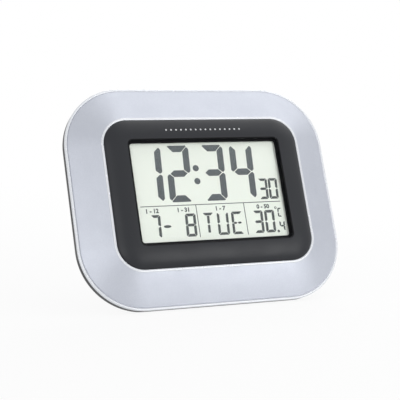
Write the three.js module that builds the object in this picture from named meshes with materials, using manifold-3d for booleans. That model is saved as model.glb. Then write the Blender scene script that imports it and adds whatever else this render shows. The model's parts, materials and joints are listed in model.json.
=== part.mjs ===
// A radio-controlled digital clock for the desk or the wall, in millimetres and degrees, +Z up.
// It stands leaning back on its folded-out stand. The origin is at the centre of its footprint.
// Inside the tilted group, x runs to the right, y up the panel and z from the wall to the front.

import * as THREE from "three";
import { mergeVertices } from "three/addons/utils/BufferGeometryUtils.js";
import Module from "manifold-3d";

const wasm = await Module();
wasm.setup();

// Fits and facets
const gap = 0.3; // between two pieces that rest on each other
const fine = 8; // arc steps in a large corner
const coarse = 4; // arc steps in a small corner
const roundSides = 12; // sides of a small round piece
const through = 1; // how far a cut runs past the face that it opens

// Pose
const lean = THREE.MathUtils.degToRad(21.3); // panel from upright
const standSplay = THREE.MathUtils.degToRad(15); // stand leg from upright

// Body outline and depths
const bodyWidth = 225;
const bodyHeight = 180;
const bodyCorner = 50.3;
const splitZ = 11.8; // where the silver frame meets the rear case
const sideHeight = 1.4; // upright side of the silver frame
const rimRound = 0.8;
const wall = 2;

// Silver frame, from the rim up to the seam with the dark bezel
const seamCorner = 20.7;
const seamCentreY = 0.2;
const seamZ = 22.8;
const lipWidth = 1.2;
const lipRise = 0.5;
const flangeBackZ = 17.5;
const flangeThickness = 2;
const flangeClearX = 1.8; // between the flange and the display holder
const flangeClearY = 3;

// Dark bezel and its window
const bezelFrontZ = 27;
const bezelBandX = 19.6; // from the window to the seam
const bezelBandY = 18.9;
const bezelEdgeRise = 1.9; // first steep rise beside the seam
const bezelEdgeRun = 3.2;
const bezelShell = 2.2;
const windowWidth = 128.2;
const windowHeight = 82.6;
const windowCorner = 3;
const windowCentreY = 0.4;
const windowChamfer = 0.8;
const ledgeWidth = 0.9; // ledge that carries the lens
const ledgeThickness = 0.6;
const windowWall = 1.8;

// Lens and display, from the front backwards
const lensThickness = 1;
const lensFrontZ = 23.5;
const glassMargin = 2.9; // display glass beyond the window
const frontGlass = 1;
const rearGlass = 0.8;
const cellGap = 0.7; // between the two glasses
const sealWidth = 1.5;
const contactLedge = 4; // strip of the front glass that takes the contacts
const reflectorThickness = 0.4;
const holderWall = 1.7;
const holderLip = 2.2;
const holderLipThickness = 0.6;
const earRadius = 3.2;
const earReach = 2.5; // from the holder's side to the middle of an ear
const topEarY = 36;
const boardEarY = [-8, -40];

// Rear case
const caseInset = 0.3; // rear case inside the frame's side
const taperRun = 12;
const taperZ = 6; // where the side ends and the taper to the back begins
const backCorner = 38;
const landDepth = 0.6; // flat that the case stands on, cut into its lower edge

// Screws
const screwHead = 2.8;
const screwHeadHeight = 2;
const screwShank = 1.4;
const bossWall = 1.4;
const caseScrewInsetX = 25.5; // from the body's side
const caseScrewInsetY = 29;
const counterboreFloor = 5;
const caseScrewLength = 11;
const bezelScrewX = 40;
const bezelScrewLength = 6.5;
const earScrewLength = 7;
const smallScrewLength = 3.6;

// Battery compartment, two AA cells side by side
const cellRadius = 7.1;
const cellBody = 49.2;
const cellNub = 1.3;
const cellNubRadius = 2.6;
const cellPitch = 15.2;
const bayClear = 0.9; // between the bay and the display holder's lip
const contactPlate = 0.4;
const springLength = 5.6;
const springWide = 4.4;
const springNarrow = 2.4;
const bayMargin = 0.6;
const bayWall = 1.5;
const bayFront = 1.2;
const doorThickness = 1.6;
const doorSink = 0.2; // door face below the back face
const doorOverlap = 1.9; // door beyond the bay on each side
const rabbetWall = 2;
const rabbetDepth = 5;
const tabX = 18;
const tabWidth = 8;
const tabReach = 2.3;
const tabThickness = 1;
const tabSweep = 0.35;
const fingerWidth = 14;
const fingerDepth = 1.1;
const fingerLength = 5;
const terminalWidth = 4;

// Fold-out stand
const hingeBelowDoor = 13.8;
const hingeZ = 3.4;
const barrelRadius = 3;
const pinRadius = 1.25;
const pinGap = 0.3;
const legWidth = 60;
const legTaper = 4; // how much narrower the leg is at its hinge
const legThickness = 2.8;
const legBackZ = 0.5;
const heelLength = 5.6;
const recessFloor = 1.5;
const cheekWidth = 4.5;
const cheekReach = 5;
const pinEnd = 1.2; // material beyond each end of the pin

// Hanging keyhole
const keyholeY = 58;
const keyholeEntry = 4.6;
const keyholeSlot = 2.3;
const keyholeRise = 9;
const keyholePocket = 4;
const keyholeMargin = 2;

// Boards
const boardThickness = 1.6;
const boardEdge = 3.5; // from the middle of an ear to the board's side
const boardBelowBay = 5.2;
const boardBelowGlass = 2.2;
const keyX = 50;
const keyYs = [8, 19, 30, 41];
const keyNames = ["set", "plus", "minus", "signal"];
const keyRadius = 3.2;
const keyFlange = 4.2;
const keyFlangeThickness = 1;
const keyStem = 1.6;
const keySink = 0.4;
const keyTravel = 0.8;
const keyBoardZ = 9;
const keyBoardWidth = 14;
const keyBoardEnd = 10;
const keySwitch = 5;
const keySwitchHeight = 1.6;
const keyPlunger = 1.2;
const keyPlungerHeight = 0.9;
const smallPost = 3;
const radioFromAerial = 17;
const radioWidth = 17;
const radioBottomY = -12;
const radioTopY = 16;
const radioZ = 6.6;
const radioThickness = 1.2;

// Aerial
const aerialInset = 24.5; // from the body's side
const aerialZ = 9;
const rodRadius = 4;
const rodLength = 60;
const coilWind = 1.4;
const coilLength = 20;
const cradleY = 22;
const cradleThickness = 3;
const cradleWidth = 13;

// Small parts on the boards
const chipX = -48;
const chipY = -22;
const chipRadius = 8;
const chipHeight = 2.2;
const capacitorX = 46;
const capacitorY = -32;
const capacitorRadius = 2.5;
const capacitorHeight = 5.5;
const crystalX = 46;
const crystalY = -16;
const crystalRadius = 1.5;
const crystalLength = 6;
const thermistorX = 66;
const thermistorY = -24;
const thermistorRadius = 1.3;
const thermistorReach = 6;
const ventCount = 5;
const ventPitch = 3.6;
const ventWidth = 1.6;
const ventLength = 12;
const ribbonThickness = 0.6;
const ribbonFoot = 3;
const ribbonWidth = 5;
const zebraWidth = 2.4;
const zebraMargin = 10;

// Places that follow from the sizes above
const rimZ = splitZ + sideHeight + rimRound;
const seamWidth = windowWidth + 2 * bezelBandX;
const seamHeight = windowHeight + 2 * bezelBandY;
const caseScrewX = bodyWidth / 2 - caseScrewInsetX;
const caseScrewY = bodyHeight / 2 - caseScrewInsetY;
const aerialX = aerialInset - bodyWidth / 2;
const radioX = aerialX + radioFromAerial;
const bezelBackZ = flangeBackZ + flangeThickness + gap;
const ledgeFrontZ = lensFrontZ - lensThickness - gap;
const ledgeBackZ = ledgeFrontZ - ledgeThickness;
const glassFrontZ = ledgeBackZ - gap;
const glassBackZ = glassFrontZ - frontGlass;
const rearGlassFrontZ = glassBackZ - cellGap;
const rearGlassBackZ = rearGlassFrontZ - rearGlass;
const reflectorFrontZ = rearGlassBackZ - gap;
const reflectorBackZ = reflectorFrontZ - reflectorThickness;
const holderFrontZ = glassFrontZ - gap;
const holderSeatZ = reflectorBackZ - gap;
const holderBackZ = holderSeatZ - holderLipThickness;
const glassHalfWidth = windowWidth / 2 + glassMargin;
const glassTopY = windowCentreY + windowHeight / 2 + glassMargin;
const rearGlassBottomY = windowCentreY - windowHeight / 2 - glassMargin;
const glassBottomY = rearGlassBottomY - contactLedge;
const holderSide = glassHalfWidth + gap + holderWall;
const holderTopY = glassTopY + gap + holderWall;
const holderBottomY = glassBottomY - gap - holderWall;
const earX = holderSide + earReach;
const flangeHalfWidth = earX + earRadius + flangeClearX;
const flangeHalfHeight = seamCentreY - holderBottomY + flangeClearY;
const boardHalfWidth = earX + boardEdge;
const boardBottomY = glassBottomY - boardBelowGlass;
const boardFrontZ = holderBackZ - gap;
const boardBackZ = boardFrontZ - boardThickness;
const zebraY = glassBottomY + contactLedge / 2;
const bayFrontInside = reflectorBackZ - gap - bayFront;
const cellZ = bayFrontInside - gap - cellRadius;
const doorInside = doorSink + doorThickness;
const contactStack = contactPlate + gap;
const bayHalfLength = (cellBody + cellNub + springLength + 2 * contactStack + 2 * gap) / 2;
const bayHalfHeight = (cellPitch + 2 * cellRadius) / 2 + bayMargin;
const bayCentreY = glassTopY + gap - holderLip - bayClear - bayWall - bayHalfHeight;
const boardTopY = bayCentreY - bayHalfHeight - bayWall - boardBelowBay;
const doorHalfWidth = bayHalfLength + doorOverlap;
const doorHalfHeight = bayHalfHeight + doorOverlap;
const doorBottomY = bayCentreY - doorHalfHeight;
const doorPivotZ = doorSink;
const hingeY = doorBottomY - hingeBelowDoor;
const legHalfWidth = legWidth / 2;
const recessHalfWidth = legHalfWidth + gap;
const recessZ = legBackZ + legThickness + gap;
const pinHalfLength = recessHalfWidth + cheekWidth - pinEnd - gap;
const standOpen = lean + standSplay;
const restHeight =
  -(bodyHeight / 2 - caseInset) * Math.cos(lean) + taperZ * Math.sin(lean) + landDepth;
const hingeHeight = hingeY * Math.cos(lean) + hingeZ * Math.sin(lean) - restHeight;
const heelRise = heelLength * Math.sin(standOpen);
const heelSweep = Math.hypot(heelLength, hingeZ - legBackZ);
const hingePocketZ = hingeZ + Math.max(barrelRadius, heelRise) + gap;
const screwHole = screwShank + gap;
const bossRadius = screwHole + bossWall;
const keyPostLowY = keyYs[0] - keyBoardEnd / 2 - smallPost;
const keyPostHighY = keyYs.at(-1) + keyBoardEnd / 2 + smallPost;
const keyRibbonY = keyPostLowY - screwHead - gap - ribbonThickness;
const keyBoardBottomY = keyRibbonY - ribbonFoot - gap;
const keyStemEndZ = keyBoardZ - keySwitchHeight - keyPlungerHeight - keyTravel - 2 * gap;

// Finishes
const silverPaint = finish(0xcfd2db, 0.32, 0.55);
const darkPlastic = finish(0x45464a, 0.45, 0);
const blackPlastic = finish(0x2a2b2d, 0.6, 0);
const clearPlastic = finish(0xeef4f2, 0.05, 0);
const displayGlass = finish(0xdfe8dc, 0.12, 0);
const reflectorFilm = finish(0xdce2d6, 0.6, 0.1);
const whitePlastic = finish(0xdfe0dc, 0.5, 0);
const boardLacquer = finish(0x2f6b3a, 0.5, 0);
const epoxy = finish(0x151515, 0.35, 0);
const steel = finish(0xb9bcc0, 0.3, 0.95);
const nickel = finish(0xd2d0c8, 0.28, 0.95);
const copper = finish(0xb4652f, 0.35, 0.9);
const ferrite = finish(0x37373a, 0.7, 0.1);
const rubber = finish(0x3a3b3d, 0.85, 0);
const keyRubber = finish(0x5c5e62, 0.7, 0);
const cellSleeve = finish(0x7d8791, 0.35, 0.3);
const ribbonGrey = finish(0xa9abb0, 0.6, 0);

function finish(color, roughness, metalness) {
  return new THREE.MeshStandardMaterial({ color, roughness, metalness });
}

// Turns a closed three.js geometry into a solid that can be joined and cut.
function solidOf(geometry) {
  const bare = geometry.clone();
  bare.deleteAttribute("normal");
  bare.deleteAttribute("uv");
  const merged = mergeVertices(bare, 1e-4);
  return new wasm.Manifold(
    new wasm.Mesh({
      numProp: 3,
      vertProperties: merged.attributes.position.array,
      triVerts: new Uint32Array(merged.index.array),
    }),
  );
}

function geometryOf(solid) {
  const mesh = solid.getMesh();
  const geometry = new THREE.BufferGeometry();
  geometry.setAttribute("position", new THREE.BufferAttribute(mesh.vertProperties, 3));
  geometry.setIndex(new THREE.BufferAttribute(mesh.triVerts, 1));
  geometry.computeVertexNormals();
  return geometry;
}

function join(solids) {
  return solids.reduce((joined, solid) => joined.add(solid));
}

function cut(solid, tools) {
  return tools.reduce((left, tool) => left.subtract(tool), solid);
}

// A rounded rectangle around a centre on the panel's upright axis.
function outline(width, height, radius, centreY = 0) {
  const right = width / 2;
  const top = centreY + height / 2;
  const bottom = centreY - height / 2;
  const shape = new THREE.Shape();
  shape.absarc(right - radius, bottom + radius, radius, -Math.PI / 2, 0);
  shape.absarc(right - radius, top - radius, radius, 0, Math.PI / 2);
  shape.absarc(radius - right, top - radius, radius, Math.PI / 2, Math.PI);
  shape.absarc(radius - right, bottom + radius, radius, Math.PI, Math.PI * 1.5);
  shape.closePath();
  return shape;
}

// A flat plate from one height to another.
function plate(shape, backZ, frontZ, steps = coarse) {
  const options = { depth: frontZ - backZ, bevelEnabled: false, curveSegments: steps };
  return solidOf(new THREE.ExtrudeGeometry(shape, options).translate(0, 0, backZ));
}

// A body whose outline changes from level to level, with straight walls between levels.
function tower(levels, steps = fine) {
  const rings = levels.map(({ width, height, radius, centreY }) => {
    const points = outline(width, height, radius, centreY).getPoints(steps);
    return points[0].distanceTo(points.at(-1)) < 1e-6 ? points.slice(0, -1) : points;
  });
  const count = rings[0].length;
  const positions = rings.flatMap((ring, level) =>
    ring.flatMap((point) => [point.x, point.y, levels[level].z]),
  );
  const faces = [];
  for (let level = 0; level + 1 < rings.length; level += 1) {
    for (let i = 0; i < count; i += 1) {
      const here = level * count + i;
      const next = level * count + ((i + 1) % count);
      faces.push(here, next, next + count, here, next + count, here + count);
    }
  }
  const top = (rings.length - 1) * count;
  for (const [a, b, c] of THREE.ShapeUtils.triangulateShape(rings[0], [])) {
    faces.push(c, b, a);
  }
  for (const [a, b, c] of THREE.ShapeUtils.triangulateShape(rings.at(-1), [])) {
    faces.push(top + a, top + b, top + c);
  }
  const geometry = new THREE.BufferGeometry();
  geometry.setAttribute("position", new THREE.Float32BufferAttribute(positions, 3));
  geometry.setIndex(faces);
  return solidOf(geometry);
}

function block(lowX, highX, lowY, highY, lowZ, highZ) {
  const box = new THREE.BoxGeometry(highX - lowX, highY - lowY, highZ - lowZ);
  const middle = [(lowX + highX) / 2, (lowY + highY) / 2, (lowZ + highZ) / 2];
  return solidOf(box.translate(...middle));
}

// An upright round rod, with its axis along z.
function rod(radius, x, y, lowZ, highZ, sides = roundSides) {
  const cylinder = new THREE.CylinderGeometry(radius, radius, highZ - lowZ, sides);
  return solidOf(cylinder.rotateX(Math.PI / 2).translate(x, y, (lowZ + highZ) / 2));
}

// A round rod lying along x or y.
function lyingRod(radius, axis, length, x, y, z, sides = roundSides) {
  const cylinder = new THREE.CylinderGeometry(radius, radius, length, sides);
  if (axis === "x") {
    cylinder.rotateZ(Math.PI / 2);
  }
  return solidOf(cylinder.translate(x, y, z));
}

// Runs a side profile of [y, z] points along x.
function sideProfile(points, width) {
  const shape = new THREE.Shape(points.map(([y, z]) => new THREE.Vector2(y, z)));
  const run = new THREE.ExtrudeGeometry(shape, { depth: width, bevelEnabled: false });
  const turn = new THREE.Matrix4().makeBasis(
    new THREE.Vector3(0, 1, 0),
    new THREE.Vector3(0, 0, 1),
    new THREE.Vector3(1, 0, 0),
  );
  return solidOf(run.applyMatrix4(turn).translate(-width / 2, 0, 0));
}

const bothSides = [-1, 1];
const fourCorners = bothSides.flatMap((sideX) => bothSides.map((sideY) => [sideX, sideY]));

// Everything below the clock's table, in the tilted group's own axes.
function belowTable() {
  const size = bodyWidth * 2;
  const slab = new THREE.BoxGeometry(size, size, size);
  slab.translate(0, 0, restHeight - size / 2);
  return solidOf(slab.rotateX(lean - Math.PI / 2));
}

// The outer skin of the silver frame, from the split up to the lip beside the bezel.
function frameSkin(lower, inset) {
  const shrink = (amount, z) => ({
    width: bodyWidth - 2 * amount,
    height: bodyHeight - 2 * amount,
    radius: bodyCorner - amount,
    centreY: 0,
    z,
  });
  const lip = (extra, z) => ({
    width: seamWidth + 2 * extra,
    height: seamHeight + 2 * extra,
    radius: seamCorner + extra,
    centreY: seamCentreY,
    z,
  });
  return tower([
    shrink(inset, splitZ - (lower ? through : 0)),
    shrink(inset, rimZ - rimRound - lower),
    shrink(inset + rimRound, rimZ - lower),
    lip(lipWidth, seamZ - lipRise - lower),
    lip(lipWidth / 2, seamZ - lower),
  ]);
}

function frontFrame() {
  const seam = outline(seamWidth, seamHeight, seamCorner, seamCentreY);
  const skirt = outline(seamWidth + 2 * wall, seamHeight + 2 * wall, seamCorner + wall, seamCentreY);
  const flangeCorner = seamCorner - (seamHeight / 2 - flangeHalfHeight);
  const opening = outline(2 * flangeHalfWidth, 2 * flangeHalfHeight, flangeCorner, seamCentreY);
  const flangeFrontZ = flangeBackZ + flangeThickness;
  const shell = frameSkin(0, 0).subtract(frameSkin(wall, wall));
  const bosses = join(
    fourCorners.map(([sideX, sideY]) =>
      rod(bossRadius, sideX * caseScrewX, sideY * caseScrewY, splitZ + gap, seamZ),
    ),
  ).intersect(frameSkin(wall / 2, wall / 2));
  const pilots = fourCorners.map(([sideX, sideY]) =>
    rod(screwHole, sideX * caseScrewX, sideY * caseScrewY, splitZ, flangeBackZ),
  );
  const flangeHoles = fourCorners.map(([sideX, sideY]) =>
    rod(screwHole, sideX * bezelScrewX, bezelScrewY(sideY), flangeBackZ - through, flangeFrontZ + through),
  );
  const body = join([shell, bosses, plate(skirt, flangeBackZ, seamZ - lipRise - wall / 2, fine)]);
  return cut(body, [
    plate(seam, flangeFrontZ, seamZ + through, fine),
    plate(opening, splitZ, seamZ, fine),
    ...pilots,
    ...flangeHoles,
  ]);
}

function bezelScrewY(sideY) {
  return seamCentreY + (sideY * (seamHeight / 2 + flangeHalfHeight)) / 2;
}

// The pillow-shaped face of the bezel, from its edge in the seam to the window.
function bezelSkin(lower, inset) {
  const level = (amount, z) => ({
    width: seamWidth - 2 * (gap + amount),
    height: seamHeight - 2 * (gap + amount),
    radius: seamCorner - gap - Math.min(amount, seamCorner / 2),
    centreY: seamCentreY,
    z,
  });
  const windowLevel = {
    width: windowWidth + 4 * ledgeWidth,
    height: windowHeight + 4 * ledgeWidth,
    radius: windowCorner + 2 * ledgeWidth,
    centreY: windowCentreY,
    z: bezelFrontZ - lower,
  };
  return tower([
    level(inset, bezelBackZ - (lower ? through : 0)),
    level(inset, seamZ - lower),
    level(inset + bezelEdgeRun, seamZ + bezelEdgeRise - lower),
    windowLevel,
  ]);
}

function innerBezel() {
  const ledgeOutline = (extra) =>
    outline(windowWidth + 2 * extra, windowHeight + 2 * extra, windowCorner + extra, windowCentreY);
  const tube = plate(ledgeOutline(ledgeWidth + windowWall), ledgeBackZ, bezelFrontZ - bezelShell / 2);
  const posts = join([
    ...fourCorners.map(([sideX, sideY]) =>
      rod(bossRadius, sideX * bezelScrewX, bezelScrewY(sideY), bezelBackZ, bezelFrontZ),
    ),
    ...earPlaces().map(([x, y]) => rod(bossRadius, x, y, ledgeBackZ, bezelFrontZ)),
  ]).intersect(bezelSkin(bezelShell / 2, bezelShell / 2));
  const pilots = [
    ...fourCorners.map(([sideX, sideY]) =>
      rod(
        screwHole,
        sideX * bezelScrewX,
        bezelScrewY(sideY),
        bezelBackZ - through,
        flangeBackZ + bezelScrewLength,
      ),
    ),
    ...earPlaces().map(([x, y]) => rod(screwHole, x, y, splitZ, boardBackZ + earScrewLength + gap)),
  ];
  const body = join([bezelSkin(0, 0).subtract(bezelSkin(bezelShell, bezelShell)), tube, posts]);
  const mouth = tower([
    {
      width: windowWidth + 2 * ledgeWidth,
      height: windowHeight + 2 * ledgeWidth,
      radius: windowCorner + ledgeWidth,
      centreY: windowCentreY,
      z: bezelFrontZ - windowChamfer,
    },
    {
      width: windowWidth + 2 * ledgeWidth + 2 * (windowChamfer + through),
      height: windowHeight + 2 * ledgeWidth + 2 * (windowChamfer + through),
      radius: windowCorner + ledgeWidth + windowChamfer + through,
      centreY: windowCentreY,
      z: bezelFrontZ + through,
    },
  ]);
  return cut(body, [
    plate(ledgeOutline(0), splitZ, bezelFrontZ + through),
    plate(ledgeOutline(ledgeWidth), ledgeFrontZ, bezelFrontZ + through),
    mouth,
    ...pilots,
  ]);
}

// Screw places at the ears of the display holder: the lower four also hold the main board.
function earPlaces() {
  return bothSides.flatMap((side) => [topEarY, ...boardEarY].map((y) => [side * earX, y]));
}

function windowLens() {
  const clear = ledgeWidth - gap;
  const shape = outline(
    windowWidth + 2 * clear,
    windowHeight + 2 * clear,
    windowCorner + clear,
    windowCentreY,
  );
  return plate(shape, lensFrontZ - lensThickness, lensFrontZ);
}

function displayFrontGlass() {
  return block(-glassHalfWidth, glassHalfWidth, glassBottomY, glassTopY, glassBackZ, glassFrontZ);
}

function displayRearGlass() {
  return block(
    -glassHalfWidth,
    glassHalfWidth,
    rearGlassBottomY,
    glassTopY,
    rearGlassBackZ,
    rearGlassFrontZ,
  ).add(glassSeal());
}

// The printed seal between the two glasses, which stands on the rear one.
function glassSeal() {
  const outer = block(
    -glassHalfWidth,
    glassHalfWidth,
    rearGlassBottomY,
    glassTopY,
    rearGlassBackZ,
    glassBackZ - gap,
  );
  const inner = block(
    sealWidth - glassHalfWidth,
    glassHalfWidth - sealWidth,
    rearGlassBottomY + sealWidth,
    glassTopY - sealWidth,
    rearGlassBackZ - through,
    glassBackZ,
  );
  return outer.subtract(inner);
}

function displayReflector() {
  return block(
    -glassHalfWidth,
    glassHalfWidth,
    rearGlassBottomY,
    glassTopY,
    reflectorBackZ,
    reflectorFrontZ,
  );
}

function displayHolder() {
  const side = glassHalfWidth + gap;
  const top = glassTopY + gap;
  const bottom = glassBottomY - gap;
  const ring = block(
    -holderSide,
    holderSide,
    holderBottomY,
    holderTopY,
    holderBackZ,
    holderFrontZ,
  );
  const ears = earPlaces().map(([x, y]) => rod(earRadius, x, y, holderBackZ, ledgeBackZ - gap));
  const webs = earPlaces().map(([x, y]) =>
    block(
      Math.min(x, Math.sign(x) * side),
      Math.max(x, Math.sign(x) * side),
      y - earRadius,
      y + earRadius,
      holderBackZ,
      holderFrontZ,
    ),
  );
  return cut(join([ring, ...ears, ...webs]), [
    block(-side, side, bottom, top, holderSeatZ, ledgeFrontZ),
    block(holderLip - side, side - holderLip, bottom, top - holderLip, splitZ, ledgeFrontZ),
    ...earPlaces().map(([x, y]) => rod(screwHole, x, y, holderBackZ - through, ledgeFrontZ)),
  ]);
}

function zebraStrip() {
  const reach = glassHalfWidth - zebraMargin;
  return block(
    -reach,
    reach,
    zebraY - zebraWidth / 2,
    zebraY + zebraWidth / 2,
    boardFrontZ + gap,
    glassBackZ - gap,
  );
}

function mainBoard() {
  const board = block(
    -boardHalfWidth,
    boardHalfWidth,
    boardBottomY,
    boardTopY,
    boardBackZ,
    boardFrontZ,
  );
  const holes = boardScrewPlaces().map(([x, y]) =>
    rod(screwHole, x, y, boardBackZ - through, boardFrontZ + through),
  );
  return cut(board, holes);
}

function boardScrewPlaces() {
  return bothSides.flatMap((side) => boardEarY.map((y) => [side * earX, y]));
}

function holderScrewPlaces() {
  return bothSides.map((side) => [side * earX, topEarY]);
}

// A self-tapping screw pointing along +z, with the underside of its head at height zero.
function screw(length) {
  const profile = [
    [0, -screwHeadHeight],
    [screwHead * 0.7, -screwHeadHeight],
    [screwHead, -screwHeadHeight * 0.5],
    [screwHead, 0],
    [screwShank, 0],
    [screwShank, length - screwShank],
    [0, length],
  ].map(([radius, z]) => new THREE.Vector2(radius, z));
  return solidOf(new THREE.LatheGeometry(profile, roundSides).rotateX(Math.PI / 2));
}

// The rear case: a tray with tapered edges, screw towers, battery bay, stand recess and cradles.
function rearCase() {
  const level = (amount, radius, z) => ({
    width: bodyWidth - 2 * amount,
    height: bodyHeight - 2 * amount,
    radius,
    centreY: 0,
    z,
  });
  const sideInset = caseInset;
  const backInset = caseInset + taperRun;
  const caseCorner = bodyCorner - caseInset;
  const tray = tower([
    level(backInset, backCorner, 0),
    level(sideInset, caseCorner, taperZ),
    level(sideInset, caseCorner, splitZ - gap),
  ]);
  const hollow = tower([
    level(backInset + gap, backCorner - gap, wall),
    level(sideInset + wall, caseCorner - wall, taperZ + wall),
    level(sideInset + wall, caseCorner - wall, splitZ + through),
  ]);
  const shell = tray.subtract(hollow);
  const within = (solid) => solid.intersect(tray);
  const body = join([
    shell,
    within(standPocket()),
    ...caseTowers(),
    ...cradles(),
    ...boardPosts(),
    batteryBay(),
    keyholeBox(),
  ]);
  return cut(body, [
    belowTable(),
    ...standCuts(),
    ...towerCuts(),
    ...postCuts(),
    ...bayCuts(),
    ...keyholeCuts(),
    ...keyCuts(),
    ...ventCuts(),
    ...cradleCuts(),
  ]);
}

function caseTowers() {
  return fourCorners.map(([sideX, sideY]) =>
    rod(screwHead + gap + bossWall, sideX * caseScrewX, sideY * caseScrewY, wall / 2, splitZ),
  );
}

function towerCuts() {
  return fourCorners.flatMap(([sideX, sideY]) => {
    const x = sideX * caseScrewX;
    const y = sideY * caseScrewY;
    return [
      rod(screwHead + gap, x, y, -through, counterboreFloor),
      rod(screwHole, x, y, wall / 2, splitZ + through),
    ];
  });
}

function standPocket() {
  const side = recessHalfWidth + recessFloor;
  const cheek = recessHalfWidth + cheekWidth;
  return join([
    block(-side, side, -bodyHeight / 2, hingeY, 0, recessZ + recessFloor),
    block(
      -cheek,
      cheek,
      hingeY - cheekReach,
      hingeY + heelSweep + gap + recessFloor,
      0,
      hingePocketZ + recessFloor,
    ),
  ]);
}

function standCuts() {
  const side = recessHalfWidth;
  return [
    block(-side, side, -bodyHeight, hingeY, -through, recessZ),
    block(
      -side,
      side,
      hingeY - barrelRadius - gap,
      hingeY + heelSweep + gap,
      -through,
      hingePocketZ,
    ),
    lyingRod(pinRadius + pinGap, "x", 2 * (pinHalfLength + gap), 0, hingeY, hingeZ),
  ];
}

// The battery bay, open to the back, with a rabbet for its door.
function batteryBay() {
  const rabbetX = doorHalfWidth + gap + rabbetWall;
  const rabbetY = doorHalfHeight + gap + rabbetWall;
  return join([
    block(-rabbetX, rabbetX, bayCentreY - rabbetY, bayCentreY + rabbetY, 0, rabbetDepth),
    block(
      -bayHalfLength - bayWall,
      bayHalfLength + bayWall,
      bayCentreY - bayHalfHeight - bayWall,
      bayCentreY + bayHalfHeight + bayWall,
      0,
      bayFrontInside + bayFront,
    ),
  ]);
}

function bayCuts() {
  const x = doorHalfWidth + gap;
  const y = doorHalfHeight + gap;
  const slots = bothSides.map((side) =>
    block(
      side * tabX - tabWidth / 2 - gap,
      side * tabX + tabWidth / 2 + gap,
      doorBottomY - tabReach - gap,
      bayCentreY - bayHalfHeight + through,
      wall,
      doorInside + gap + 2 * tabThickness + tabSweep,
    ),
  );
  return [
    block(-x, x, bayCentreY - y, bayCentreY + y, -through, doorInside + gap),
    block(
      -bayHalfLength,
      bayHalfLength,
      bayCentreY - bayHalfHeight,
      bayCentreY + bayHalfHeight,
      0,
      bayFrontInside,
    ),
    ...slots,
    ...terminalSlots(),
    block(
      -fingerWidth / 2,
      fingerWidth / 2,
      bayCentreY,
      bayCentreY + y + fingerLength,
      -through,
      fingerDepth,
    ),
  ];
}

// Slots in the bay's right wall for the tails of the two end contacts.
function terminalSlots() {
  return [bayCentreY + cellPitch / 2, bayCentreY - cellPitch / 2].map((y) =>
    block(
      bayHalfLength - through,
      bayHalfLength + bayWall + through,
      y - terminalWidth / 2 - gap,
      y + terminalWidth / 2 + gap,
      tailZ() - gap,
      tailZ() + contactPlate + gap,
    ),
  );
}

function tailZ() {
  return cellZ + cellRadius / 2;
}

function batteryDoor() {
  const tabs = bothSides.flatMap((side) => [
    block(
      side * tabX - tabWidth / 2,
      side * tabX + tabWidth / 2,
      doorBottomY - tabReach,
      doorBottomY + tabThickness,
      doorInside + 2 * gap,
      doorInside + 2 * gap + tabThickness,
    ),
    block(
      side * tabX - tabWidth / 2,
      side * tabX + tabWidth / 2,
      doorBottomY,
      doorBottomY + tabThickness,
      doorSink,
      doorInside + 2 * gap + tabThickness,
    ),
  ]);
  const panel = plate(
    outline(2 * doorHalfWidth, 2 * doorHalfHeight, 1, bayCentreY),
    doorSink,
    doorInside,
    2,
  );
  return join([panel, ...tabs]);
}

// A cell lying along x, with its raised end on the given side.
function batteryCell(side, y) {
  const end = bayHalfLength - contactStack - gap;
  const bodyMiddle = side * (end - cellNub - cellBody / 2);
  const nubMiddle = side * (end - cellNub);
  return join([
    lyingRod(cellRadius, "x", cellBody, bodyMiddle, y, cellZ, 20),
    lyingRod(cellNubRadius, "x", 2 * cellNub, nubMiddle, y, cellZ),
  ]);
}

// The plate of one contact, beside the bay's end wall.
function contactPlateAt(side, lowY, highY) {
  const outer = bayHalfLength - gap;
  const low = Math.min(side * outer, side * (outer - contactPlate));
  return block(low, low + contactPlate, lowY, highY, cellZ - cellRadius / 2, cellZ + cellRadius * 0.8);
}

// A conical contact spring as the solid that its turns fill.
function springCone(side, y) {
  const cone = new THREE.CylinderGeometry(springNarrow, springWide, springLength, roundSides);
  cone.rotateZ((side * Math.PI) / 2);
  const middle = side * (bayHalfLength - contactStack - springLength / 2 + gap / 2);
  return solidOf(cone.translate(middle, y, cellZ));
}

function contactBridge() {
  const low = bayCentreY - cellPitch / 2 - springWide;
  const high = bayCentreY + cellPitch / 2 + springWide;
  return join([contactPlateAt(-1, low, high), springCone(-1, bayCentreY + cellPitch / 2)]);
}

function endContact(cellSide, sprung) {
  const y = bayCentreY + (cellSide * cellPitch) / 2;
  const outside = bayHalfLength + bayWall + gap;
  const half = terminalWidth / 2;
  const inside = bayHalfLength - gap - contactPlate;
  const tail = block(inside, outside + contactPlate, y - half, y + half, tailZ(), tailZ() + contactPlate);
  const strip = block(
    outside + (sprung ? 0 : contactPlate + gap),
    outside + (sprung ? 0 : contactPlate + gap) + contactPlate,
    boardTopY + gap,
    y + half,
    tailZ(),
    boardFrontZ,
  );
  const reach = block(
    outside,
    outside + 2 * contactPlate + gap,
    y - half,
    y + half,
    tailZ(),
    tailZ() + contactPlate,
  );
  const pieces = [contactPlateAt(1, y - springWide, y + springWide), tail, strip];
  return join(sprung ? [...pieces, springCone(1, y)] : [...pieces, reach]);
}

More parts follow.
